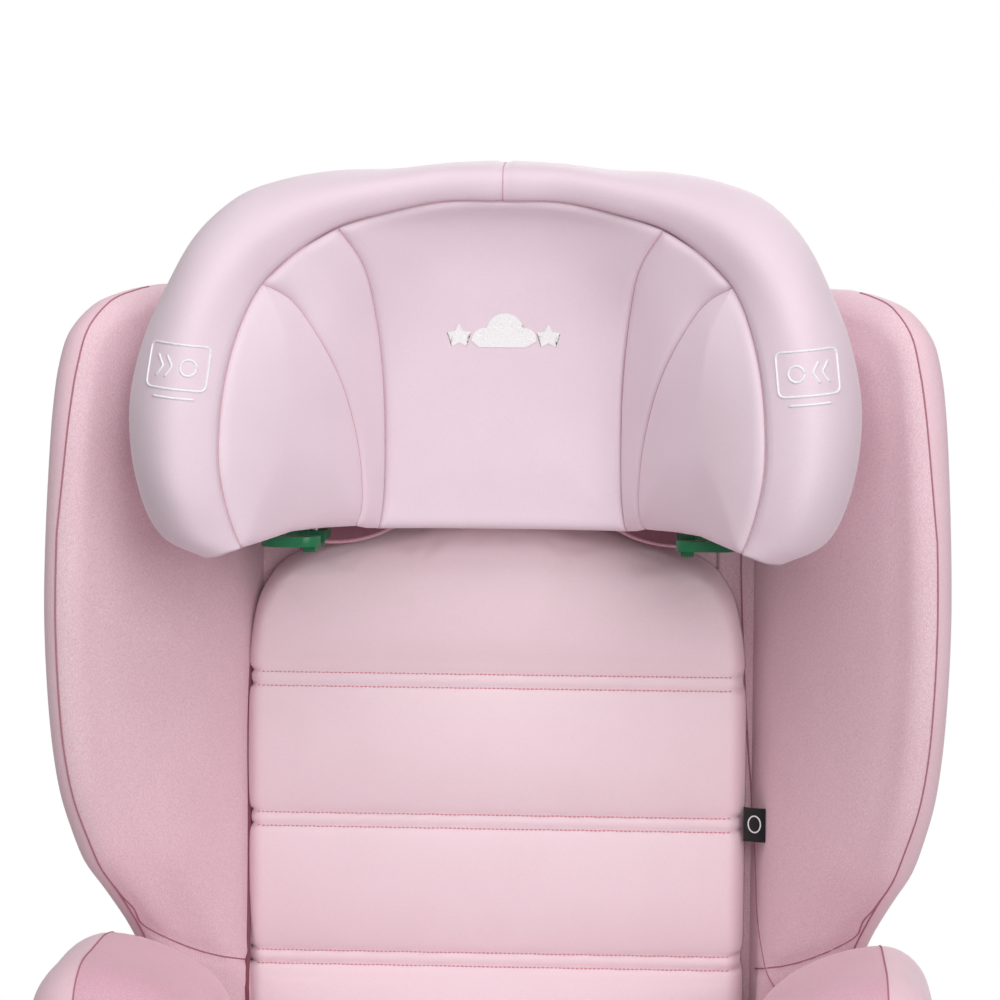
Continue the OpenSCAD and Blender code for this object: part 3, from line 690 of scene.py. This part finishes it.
def wing():
    """Both wings: heathered panels, the smooth band round the padded edge, and the seam lines."""
    z = wing_heights(150)
    reach = np.maximum(wing_reach(z), 3.0)
    tuck = 0.25 + 0.9 * np.exp(-((z - 250) / np.where(z > 250, 42, 30)) ** 2)
    tuck = np.minimum(tuck + 1.6 * np.clip((z - 440) / 90, 0, 1), 0.08 * reach)
    start = reach - tuck
    from_seam = np.concatenate([[0, 0.3, 0.9, 1.8, 3, 4.8, 7, 9.6, 12.5, 16], np.linspace(20, 170, 40)])
    share = from_seam / from_seam[-1]
    keep = np.clip((start - 20) / 60, 0, 1)[:, None]
    s = start[:, None] - (keep * np.minimum(from_seam[None], start[:, None] * share[None] ** 0.8)
                          + (1 - keep) * start[:, None] * share[None])
    s[:, -1] = -5
    zz = np.repeat(z[:, None], s.shape[1], axis=1)
    inner = wing_face(s, zz, True)
    from_sweep = distance(np.stack([s, zz], -1), through(SWEEP, 8))
    groove = np.exp(-(from_sweep / 2.0) ** 2) * np.clip((start[:, None] - s) / 4, 0, 1)
    n = normals(inner, (-0.8, -0.5, 0))
    inner = inner - n * (1.3 * groove)[..., None]
    lip = 1 - (1 - np.linspace(0, 1, 7)[:-1]) ** 2
    front_s = start[:, None] + tuck[:, None] * lip[None]
    front = wing_face(front_s, np.repeat(z[:, None], len(lip), axis=1), True)
    front[:, 0] = inner[:, 0]
    s_out = s + tuck[:, None]
    s_out[:, -1] = -5
    outer = wing_face(s_out, zz, False)
    outer[:, 0] = wing_at(reach, NOSE + 0 * reach, z)
    wrap = np.concatenate([front, outer], axis=1)
    face = slab(inner, inner - n * 3.0)
    shell = slab(wrap, wrap - normals(wrap, (0.8, 0.5, 0)) * 1.6)
    out = {}
    for side, fix in SIDES:
        out[side] = piece("wing_panel_" + side, fix(face), HEATHER, "backrest",
                          ["wing_cover_" + side])
        piece("wing_band_" + side, fix(shell), BAND, "backrest", ())
    return out, inner[2:-7, 0] + n[2:-7, 0] * 0.1


wings, wing_seam = wing()
crease("wing_seams", [wing_seam], "backrest", 0.5, SEAM_AND_CREASE_SHADE)


def on_surface(objects, line, direction, back=60, proud=0.0):
    """Drops the points of a line onto pieces, along a direction."""
    tree = tree_of(objects)
    d = np.asarray(direction, float)
    d = d / np.linalg.norm(d)
    out = []
    for p in line:
        found = cast(tree, np.asarray(p, float) - d * back, d)
        if found is not None:
            out.append(found[0] + found[1] * proud)
    return np.array(out)


into_wing = np.array([math.cos(FLARE), math.sin(FLARE), 0])
sweep = through(SWEEP, 6)
sweep_on = on_surface([wings["right"]], wing_at(sweep[:, 0], 0.0, sweep[:, 1]), into_wing, 40, 0.1)
crease("wing_sweep_seams", [sweep_on], "backrest", 0.45, SEAM_AND_CREASE_SHADE)

# ---------- back pad

PAD_SHIFT = -6.0
PAD_REAR = 124.6
ROWS = (190, 268.5, 348)          # heights of the double rows of stitches
ROW_HALF = 3.9
PAD_SIDE = [(-141.5, 126), (-141.5, 230), (-141.5, 335), (-140, 365), (-134, 394), (-125, 409)]
PAD_TOP = [(-125, 409), (-115, 416.5), (-92, 425), (-60, 434.5), (0, 445), (60, 434.5), (92, 425),
           (115, 416.5), (125, 409)]


def net(left_pts, top_pts, foot_z, cols, rows):
    """Net of (x, z) points inside a symmetrical outline with four edges."""
    left = at_shares(through(left_pts, 8), eased(rows, 0.35))
    right = left * (-1, 1)
    high = at_shares(through(top_pts, 8), eased(cols, 0.55))
    low = at_shares([(left_pts[0][0], foot_z), (-left_pts[0][0], foot_z)], eased(cols, 0.55))
    left[0], right[0] = low[0], low[-1]
    high[0], high[-1] = left[-1], right[-1]
    return coons(low, high, left, right)


def quilt_height(flat, rows, deep, bulge, edge, limits):
    """Height of a quilted pad over its back: rolled edges, channels between double rows of stitches."""
    d = distance(flat, border(flat))
    roll = (1 - (1 - np.clip(d / edge, 0, 1)) ** 2.6) ** (1 / 2.4)
    v = flat[..., 1]
    ends = [limits[0]] + [r for row in rows for r in (row - ROW_HALF, row + ROW_HALF)] + [limits[1]]
    swell = np.zeros_like(v)
    for k in range(0, len(ends), 2):
        a, b = ends[k], ends[k + 1]
        t = np.clip((v - a) / (b - a), 0, 1)
        fat = np.where((v > a) & (v < b), np.sin(math.pi * t), 0) ** 0.55
        swell = np.maximum(swell, fat)
    band = np.zeros_like(v)
    for row in rows:
        off = np.abs(v - row)
        band = np.maximum(band, np.clip(1 - off / ROW_HALF, 0, 1) ** 0.5 * (off < ROW_HALF))
        roll = roll - 0.275 * np.exp(-((off - ROW_HALF) / 1.1) ** 2) * np.exp(-(d / 5) ** 2)
    side = np.clip(d / 45, 0, 1)
    swell = swell * (0.55 + 0.45 * np.sin(0.5 * math.pi * side))
    return np.clip(roll, 0, None) * (deep + bulge * swell + 1.5 * band)


def back_quilt():
    """Front and rear faces of the back pad, drawn in a little at each double row."""
    flat = net(PAD_SIDE, PAD_TOP, 126.5, 104, 226)
    height = quilt_height(flat, ROWS, 28.6, 5.6, 12, (121, 452))
    x = flat[..., 0]
    pull = np.zeros_like(x)
    for row in ROWS:
        pull = np.maximum(pull, np.exp(-((flat[..., 1] - row) / 6) ** 2))
    x = x * (1 - 0.010 * pull * np.clip(np.abs(x) / 139, 0, 1) ** 6) + PAD_SHIFT
    front = np.stack([x, PAD_REAR - height, flat[..., 1]], axis=-1)
    back = np.stack([x, np.full_like(x, PAD_REAR), flat[..., 1]], axis=-1)
    return front, back


PRESSURE = 4.0
CLOTH_FRAMES = 16
CAP = 3.0 * MM      # about the farthest that a point may move


def settle(obj, depth_of, height_of, seams):
    """Cloth pass: the filling's pressure swells a cover that is held at its foot and its rows of stitches."""
    rest = np.array([v.co for v in obj.data.vertices], float)
    deep, across = depth_of(rest / MM), height_of(rest / MM)
    free = np.clip((deep - 7) / 9, 0, 1)
    for seam in seams:
        free = free * np.clip((np.abs(across - seam) - ROW_HALF - 0.5) / 9, 0, 1)
    group = obj.vertex_groups.new(name="held")
    for k, w in enumerate(1 - free):
        if w > 0:
            group.add([k], float(w), "REPLACE")
    cloth = obj.modifiers.new("filling", "CLOTH")
    s = cloth.settings
    s.quality = 5
    s.mass = 0.3
    s.tension_stiffness = s.compression_stiffness = 12
    s.bending_stiffness = 1.5
    s.use_pressure = True
    s.uniform_pressure_force = PRESSURE
    s.vertex_group_mass = "held"
    s.effector_weights.gravity = 0
    cloth.point_cache.frame_end = CLOTH_FRAMES
    for f in range(1, CLOTH_FRAMES + 1):
        bpy.context.scene.frame_set(f)
    moved = obj.evaluated_get(bpy.context.evaluated_depsgraph_get()).to_mesh()
    step = np.array([v.co for v in moved.vertices], float) - rest
    obj.modifiers.remove(cloth)
    obj.vertex_groups.clear()
    bpy.context.scene.frame_set(1)
    size = np.linalg.norm(step, axis=1, keepdims=True)
    step *= np.tanh(size / CAP) * CAP / np.maximum(size, 1e-9)
    obj.data.vertices.foreach_set("co", (rest + step).ravel())
    obj.data.update()


quilt_front, quilt_back = back_quilt()
quilt = piece("back_quilt", slab(quilt_front, quilt_back), PAD, "backrest",
              ["back_pad", "back_pad_foam"])
settle(quilt, lambda p: PAD_REAR - p[:, 1], lambda p: p[:, 2], ROWS)


STITCH_PITCH, STITCH = 2.4, 1.5      # from one stitch to the next, and a stitch's length


def stitch_rows(name, obj, lines, direction, body, depth=70):
    """Rows of thread dashes laid on a piece along lines (mm), each a short rounded form half sunk in."""
    tree = tree_of([obj])
    u = np.array(direction, float)
    parts = []
    for line in lines:
        run = np.linalg.norm(np.subtract(line[1], line[0]))
        starts = (np.arange(int(run / STITCH_PITCH)) + 0.5) * STITCH_PITCH / run
        ends = np.minimum(starts + STITCH / run, 1)
        for p, q in zip(at_shares(line, starts), at_shares(line, ends)):
            one, two = cast(tree, p - u * depth, u), cast(tree, q - u * depth, u)
            if one is None or two is None or np.linalg.norm(one[0] - two[0]) > 2.5 * STITCH:
                continue
            wiggle = RNG.normal(0, 0.12, 3)
            mid = (one[0] + two[0]) / 2 + one[1] * 0.22 + wiggle * (1, 0, 1) * 0.4
            parts.append(tube(np.array([one[0] - one[1] * 0.1, mid, two[0] - two[1] * 0.1]), 0.38, 5))
    piece(name, joined(parts), THREAD, body, weld=0)


def double_rows(heights):
    """Heights of the single rows of stitches, two for each double row."""
    return [row + side for row in heights for side in (-ROW_HALF, ROW_HALF)]


stitch_rows("back_stitching", quilt, [[(-134 + PAD_SHIFT, 90, z), (134 + PAD_SHIFT, 90, z)]
                                      for z in double_rows(ROWS)], (0, 1, 0), "backrest")


def back_cover():
    """Cover sheet behind the pads, with the slot that the headrest's spine passes through."""
    xs = np.concatenate([np.linspace(-132, -46, 30), np.linspace(-45, 45, 24), np.linspace(46, 132, 30)])
    zs = np.linspace(99, 559, 110)
    points = np.array([(x, 127.8 + 0.35 * math.sin(x / 9) * math.sin(z / 31), z) for z in zs for x in xs])
    faces = [f for f in grid_faces(len(zs), len(xs))
             if not (np.abs(points[list(f), 0]).max() <= 45.1 and points[list(f), 2].min() > 452)]
    used = sorted({v for f in faces for v in f})
    new = {v: k for k, v in enumerate(used)}
    part = (points[used], [tuple(new[v] for v in f) for f in faces])
    obj = piece("back_cover_sheet", part, HEATHER, "backrest", ["back_cover"])
    thicken(obj, 1.5, 0)


back_cover()


def wing_root():
    """Fabric strip between the pad's edge and the wing's inner face, the long seam beside it, and a dark tube
    of painted shade in the gap at the left pad's edge.
    """
    heights = np.linspace(123, 560, 60)
    columns = [[(x, y, z) for z in heights] for x, y in ((118, 126), (128, 125.2), (135.5, 122), (144, 121))]
    strip = np.swapaxes(through(columns, 5), 0, 1)
    part = slab(strip, strip + (0, 1.4, 0))
    right = piece("wing_root_right", part, HEATHER, "backrest")
    left = piece("wing_root_left", mirror(part), HEATHER, "backrest")
    seam = through([(131.5, 60, 470), (131.5, 60, 410), (133.5, 60, 360), (136.5, 60, 310), (139, 60, 279),
                    (141.5, 60, 245), (142.8, 60, 216), (145, 60, 202), (149, 60, 187), (156, 60, 177)], 8)
    seam = on_surface([right, wings["right"]], seam, (0, 1, 0), 20, 0.1)
    piece("wing_root_seam", tube(seam, 0.45, 5), SEAM_AND_CREASE_SHADE, "backrest", weld=0)
    # Dark tube laid in the gap between the left pad's edge and the wing: painted shade where the gap's shadow
    # falls.
    edge = through([(-144.6, 60, 128), (-144.6, 60, 200), (-144.8, 60, 270), (-144.8, 60, 335),
                    (-143.2, 60, 365), (-138, 60, 392)], 8)
    edge = on_surface([left, wings["left"]], edge, (0, 1, 0), 20, 0.2)
    piece("pad_gap_painted_shade", tube(edge, 1.5, 6), GAP_SHADE, "backrest", weld=0)


wing_root()


def size_label():
    """Folded woven label sewn in at the pad's right edge, with a small generic outline mark."""
    u, v = np.meshgrid(np.linspace(0, 1, 16), np.linspace(0, 1, 12))
    x, z = 134.2 + 12.4 * u, 259.5 + 19 * v
    curl = 5.2 * np.sin(u * 1.5) + 0.35 * np.sin(v * 5)
    front = np.stack([x, 99.2 - curl, z], -1)
    back = np.stack([x, 100.0 - curl + 0.5 * (1 - u), z], -1)
    label = piece("size_label", slab(front, back), LABEL, "backrest", ["size_tag"])
    t = np.linspace(0, 2 * math.pi, 33)
    ring = [(140.4 + 3.4 * math.cos(a), 80, 269.5 + 4.6 * math.sin(a)) for a in t]
    mark = on_surface([label], ring, (0, 1, 0), 30, 0.1)
    piece("size_label_mark", tube(mark, 0.42, 5), WHITE, "backrest", weld=0)


size_label()

# ---------- base

CUSHION_FOOT = 104.4
CUSHION_HALF, CUSHION_FRONT, CUSHION_REAR, CUSHION_CORNER = 136.0, -206.0, 86.0, 34.0
SEAT_ROWS = (-138, -60, 18)


def cushion_half(end, way, bow):
    """Net of half the cushion, from its middle row to the end at y = end, whose edge bows out a little."""
    half, r = CUSHION_HALF, CUSHION_CORNER
    k = r * (1 - math.sqrt(0.5))
    side = [(-half, SEAT_ROWS[1]), (-half, end - way * (r + 40)), (-half, end - way * r),
            (-half + k, end - way * k)]
    edge = [side[-1], (-half + r, end), (-60, end + way * 0.75 * bow), (0, end + way * bow),
            (60, end + way * 0.75 * bow), (half - r, end), (half - k, end - way * k)]
    return net(side, edge, SEAT_ROWS[1], 84, 84)


def seat_quilt():
    """Top and foot of the seat cushion with crosswise channels; it stands for its fillings too."""
    front = cushion_half(CUSHION_FRONT, -1, 2.0)
    flat = np.concatenate([front[:0:-1], cushion_half(CUSHION_REAR, 1, 0.0)], axis=0)
    height = quilt_height(flat, SEAT_ROWS, 28.5, 6.0, 17, (-214, 94))
    x, y = flat[..., 0], flat[..., 1]
    top_face = np.stack([x, y, CUSHION_FOOT + height], axis=-1)
    foot = np.stack([x, y, np.full_like(x, CUSHION_FOOT)], axis=-1)
    return top_face, foot


seat_top, seat_foot = seat_quilt()
cushion = piece("seat_quilt", slab(seat_top, seat_foot), PAD, "base",
                ["seat_cushion", "seat_cushion_foam", "seat_foam"])
settle(cushion, lambda p: p[:, 2] - CUSHION_FOOT, lambda p: p[:, 1], SEAT_ROWS)
stitch_rows("seat_stitching", cushion, [[(-131, y, 150), (131, y, 150)] for y in double_rows(SEAT_ROWS)],
            (0, 0, -1), "base", depth=40)

# The armrest's outline from the side, as (y, z): up the front of the post, round the horn, down the rear
ARM_EDGE = [(-45, 62), (-45, 100), (-45, 132), (-52, 162), (-70, 166), (-104, 166), (-124, 176), (-132, 194),
            (-126, 213), (-106, 223), (-60, 224), (-10, 222), (22, 214), (44, 190), (68, 155), (84, 118),
            (86, 90), (86, 62)]
ARM_MID = np.array([-22.0, 160.0])
ARM_RIDGE, ARM_INNER, ARM_OUTER = 208.0, 140.5, 233.5


def armrest():
    """Horn-shaped armrest: a ridge round its outline, a broad inner slope and a quick outer round."""
    edge = np.concatenate([through(ARM_EDGE[:4], 8), through(ARM_EDGE[3:], 8)[1:]])
    foot = [(60, 62), (30, 62), (0, 62), (-30, 62)]
    ring = at_shares(np.concatenate([edge, foot, edge[:1]]), np.linspace(0, 1, 181)[:-1])
    steps = np.concatenate([[0, 0.008, 0.022, 0.045, 0.08, 0.125], np.linspace(0.18, 1, 22)])
    net_yz = ring[None] + steps[:, None, None] * (ARM_MID - ring)[None]
    closed = np.concatenate([ring, ring[:1]])
    d = distance(net_yz, edge)
    t_in = np.clip(d / 46, 0, 1)
    t_out = np.clip(d / 25, 0, 1)
    ins = ARM_RIDGE - (ARM_RIDGE - ARM_INNER) * (1 - (1 - t_in) ** 2) ** 0.625
    outs = ARM_RIDGE + (ARM_OUTER - ARM_RIDGE) * np.sqrt(1 - (1 - t_out) ** 2)
    n = len(ring)
    last = (len(steps) - 1) * n
    faces = grid_faces(len(steps), n, 0, True)
    faces += [(last + j, last + (j + 1) % n, last + n) for j in range(n)]
    halves = []
    for x in (ins, outs):
        grid = np.stack([x, net_yz[..., 0], net_yz[..., 1]], -1)
        halves.append((np.concatenate([grid.reshape(-1, 3), grid[-1].mean(axis=0)[None]]), faces))
    points, faces = joined(halves)
    other = len(halves[0][0])
    faces += [(j, (j + 1) % n, other + (j + 1) % n, other + j) for j in range(n)]
    seam = np.stack([np.full(len(closed), ARM_RIDGE), closed[:, 0], closed[:, 1]], -1)
    return (points, faces), seam[10:160]


arm_form, arm_seam = armrest()
for side, fix in SIDES:
    arm = piece("armrest_pad_" + side, fix(arm_form), ARM_KNIT, "base",
                ["armrest_cover_" + side])
    arm.data.materials.append(BAND)
    for f in arm.data.polygons:
        if abs(f.center.x) > ARM_RIDGE * MM + 0.0001:
            f.material_index = 1
crease("armrest_seams", [arm_seam], "base", 0.5, SEAM_AND_CREASE_SHADE)


def seat_skirt():
    """Fabric over the front of the tub and the thigh bolsters, with a rounded top edge."""
    mesh = frame["nodes"]["seat_cover"].data.copy()
    mesh.name = "seat_skirt"
    obj = bpy.data.objects.new("seat_skirt", mesh)
    bpy.context.scene.collection.objects.link(obj)
    mesh.materials.clear()
    mesh.materials.append(HEATHER)
    remesh = obj.modifiers.new("remesh", "REMESH")
    remesh.mode = "VOXEL"
    remesh.voxel_size = 0.0032
    soft = obj.modifiers.new("soft", "SMOOTH")
    soft.factor = 0.5
    soft.iterations = 14
    bpy.context.view_layer.update()
    done = bpy.data.meshes.new_from_object(obj.evaluated_get(bpy.context.evaluated_depsgraph_get()))
    obj.modifiers.clear()
    obj.data = done
    done.shade_smooth()
    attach(obj, "base")
    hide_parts("seat_cover")


seat_skirt()

# ---------- generic prints


PRINT_STEP = 0.9      # spacing of the points of a printed line
PRINT_CELL = 1.6      # longest edge in a printed patch, as far as three rounds of cuts go
PRINT_PROUD = 0.25


def printed_lines(name, lines):
    """Thin raised lines dropped onto the headrest's rim from the front."""
    parts = []
    for line in lines:
        run = np.linalg.norm(np.diff(line, axis=0), axis=1).sum()
        line = at_shares(line, np.linspace(0, 1, max(8, int(run / PRINT_STEP))))
        on = on_surface([rim], line, (0, 1, 0), 90)
        if len(on) > 3:
            parts.append(tube(on, 0.62, 8))
    piece(name, joined(parts), WHITE, "headrest", weld=0)


def printed_patch(name, outline):
    """An outline in x and z, filled with a fine net and laid on the headrest's centre panel."""
    work = bmesh.new()
    verts = [work.verts.new((x, 0, z)) for x, z in outline]
    work.faces.new(verts)
    bmesh.ops.triangulate(work, faces=work.faces)
    for _ in range(3):
        long = [e for e in work.edges if e.calc_length() > PRINT_CELL]
        if not long:
            break
        bmesh.ops.subdivide_edges(work, edges=long, cuts=1)
        bmesh.ops.triangulate(work, faces=work.faces)
    tree = tree_of([centre])
    points = np.array([(v.co.x, 0, v.co.z) for v in work.verts])
    work.verts.index_update()
    faces = [tuple(v.index for v in f.verts) for f in work.faces]
    work.free()
    for k, p in enumerate(points):
        found = cast(tree, p - (0, 150, 0), (0, 1, 0))
        if found is not None:
            points[k] = found[0] + found[1] * PRINT_PROUD
    piece(name, (points, faces), WHITE, "headrest", weld=0)


def star(cx, cz, size):
    """Five-pointed star: corners in turn at the full size and at half of it."""
    corners = [(math.pi * k / 5, size if k % 2 == 0 else size * 0.5) for k in range(10)]
    return [(cx + r * math.sin(a), cz + r * math.cos(a)) for a, r in corners]


def cloud(cx, cz, w, h):
    """Plain cloud outline made of three puffs on a flat foot."""
    out = []
    puffs = [(-0.30, 0.00, 0.22), (0.02, 0.16, 0.30), (0.33, 0.02, 0.20)]
    for t in np.linspace(math.pi, 0, 49):
        best = 0.0
        ux, uz = math.cos(t), math.sin(t)
        for px, pz, pr in puffs:
            b = ux * px + uz * pz
            c = px * px + pz * pz - pr * pr
            root = b * b - c
            if root > 0:
                best = max(best, b + math.sqrt(root))
        out.append((cx + w * best * ux, cz + h * best * uz * 1.5))
    out += [(cx + w * 0.5 * s, cz - h * 0.16) for s in (0.7, 0.2, -0.4, -0.8)]
    return out


printed_patch("centre_print_cloud", cloud(0, 540.5, 34, 22))
printed_patch("centre_print_star_left", star(-24.5, 543, 7.0))
printed_patch("centre_print_star_right", star(24.5, 543, 7.0))


def badge(side, sign):
    """Small printed badge: rounded frame, a ring, two chevrons and a plain bar below, a little tilted."""
    wide, high, corner = 13.0, 8.5, 3.0      # half the frame between its corners' centres, and their radius
    quarter = math.pi / 2
    frame_line = [(wide * a + corner * math.cos(t), high * b + corner * math.sin(t))
                  for k, (a, b) in enumerate(((1, 1), (-1, 1), (-1, -1), (1, -1)))
                  for t in np.linspace(k * quarter, (k + 1) * quarter, 7)]
    ring = [(4.2 * math.cos(t) - 6 * sign, 4.2 * math.sin(t)) for t in np.linspace(0, 2 * math.pi, 25)]
    lines = [frame_line + frame_line[:1], ring, [(-11, -16), (0, -16), (11, -16)]]
    lines += [[((x + 3.4) * sign, 5.5), (x * sign, 0), ((x + 3.4) * sign, -5.5)] for x in (2.5, 7.5)]
    tilt = math.radians(5.5) * sign
    printed_lines("badge_" + side, [[(164.0 * sign + x * math.cos(tilt) - z * math.sin(tilt), -30,
                                      531.0 + x * math.sin(tilt) + z * math.cos(tilt)) for x, z in line]
                                    for line in lines])


badge("right", 1)
badge("left", -1)

# ---------- spring of the handle

COIL_RADIUS, COIL_TURNS, WIRE = 5.2, 4.6, 0.7
COIL_Y, COIL_FOOT, COIL_HEIGHT = 157, 592.8, 17.4


def handle_coil():
    """Return spring above the pull handle, with a mesh of its own."""
    t = np.linspace(0, 1, 150)
    turn = 2 * math.pi * COIL_TURNS * t
    line = np.stack([COIL_RADIUS * np.cos(turn), COIL_Y + COIL_RADIUS * np.sin(turn),
                     COIL_FOOT + COIL_HEIGHT * t], axis=-1)
    coil = piece("handle_coil", tube(line, WIRE, 8), STEEL, "headrest", ["handle_spring"], weld=0)
    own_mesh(coil)


handle_coil()

# ---------- finish of CAD pieces

SLOT_OF = {s["node"]: s["material_slot"] for s in frame["record"]["subparts"]}
for name, node in frame["nodes"].items():
    if node.hide_render:
        continue
    finish = OF_SLOT.get(SLOT_OF.get(name))
    if finish is None:
        continue
    node.data.materials.clear()
    node.data.materials.append(finish)
    weld = node.modifiers.new("weld", "WELD")
    weld.merge_threshold = 0.00001
    edge = node.modifiers.new("edge", "BEVEL")
    edge.width = 0.0007
    edge.segments = 2
    edge.limit_method = "ANGLE"
    edge.angle_limit = math.radians(35)
    edge.harden_normals = True

# ---------- floor, light and camera

scene = bpy.context.scene
scene.view_settings.view_transform = "Standard"

floor_mesh = bpy.data.meshes.new("floor")
disc = bmesh.new()
bmesh.ops.create_circle(disc, cap_ends=True, segments=96, radius=0.8)
disc.to_mesh(floor_mesh)
disc.free()
floor = bpy.data.objects.new("floor", floor_mesh)
scene.collection.objects.link(floor)
floor.location.z = -0.0002
paper = Nodes("floor_paper")
paper.colour(paper.ramp(paper.noise(8), [(0.3, (0.80, 0.80, 0.80)), (0.7, (0.84, 0.84, 0.84))]))
paper.set(rough=0.9)
floor_mesh.materials.append(paper.material)

world = bpy.data.worlds.new("studio")
scene.world = world
world.use_nodes = True
tree = world.node_tree
tree.nodes.clear()
out, mix, seen, lit, path = (tree.nodes.new("ShaderNode" + kind) for kind in (
    "OutputWorld", "MixShader", "Background", "Background", "LightPath"))
seen.inputs["Color"].default_value = (1, 1, 1, 1)
seen.inputs["Strength"].default_value = 1.0
lit.inputs["Color"].default_value = (1.0, 0.985, 0.99, 1)
lit.inputs["Strength"].default_value = 0.285
tree.links.new(path.outputs["Is Camera Ray"], mix.inputs[0])
tree.links.new(lit.outputs[0], mix.inputs[1])
tree.links.new(seen.outputs[0], mix.inputs[2])
tree.links.new(mix.outputs[0], out.inputs[0])


def softbox(name, place, aim, size, power):
    light = bpy.data.lights.new(name, "AREA")
    light.shape = "RECTANGLE"
    light.size, light.size_y = size
    light.energy = power
    obj = bpy.data.objects.new(name, light)
    scene.collection.objects.link(obj)
    obj.location = place
    obj.rotation_euler = (Vector(aim) - Vector(place)).to_track_quat("-Z", "Y").to_euler()
    obj.visible_camera = False


softbox("key", (1.0, -2.4, 1.2), (0, 0, 0.45), (1.6, 1.5), 32)
softbox("top", (0.0, -0.9, 2.0), (0, 0, 0.45), (2.4, 1.2), 21)
softbox("rear", (0.4, 2.0, 1.5), (0, 0, 0.4), (1.6, 1.2), 16)

camera = bpy.data.objects.new("camera", bpy.data.cameras.new("camera"))
scene.collection.objects.link(camera)
scene.camera = camera
camera.data.sensor_width = 36
camera.data.lens = 148.2
EYE, AIM, ROLL = Vector((0.12424, -2.18821, 0.65014)), Vector((0.0019, 0, 0.4584)), math.radians(0.4)
ahead = (AIM - EYE).normalized()
turn = ahead.to_track_quat("-Z", "Y")
camera.location = EYE
camera.rotation_mode = "QUATERNION"
camera.rotation_quaternion = Quaternion(ahead, -ROLL) @ turn

bpy.context.view_layer.update()
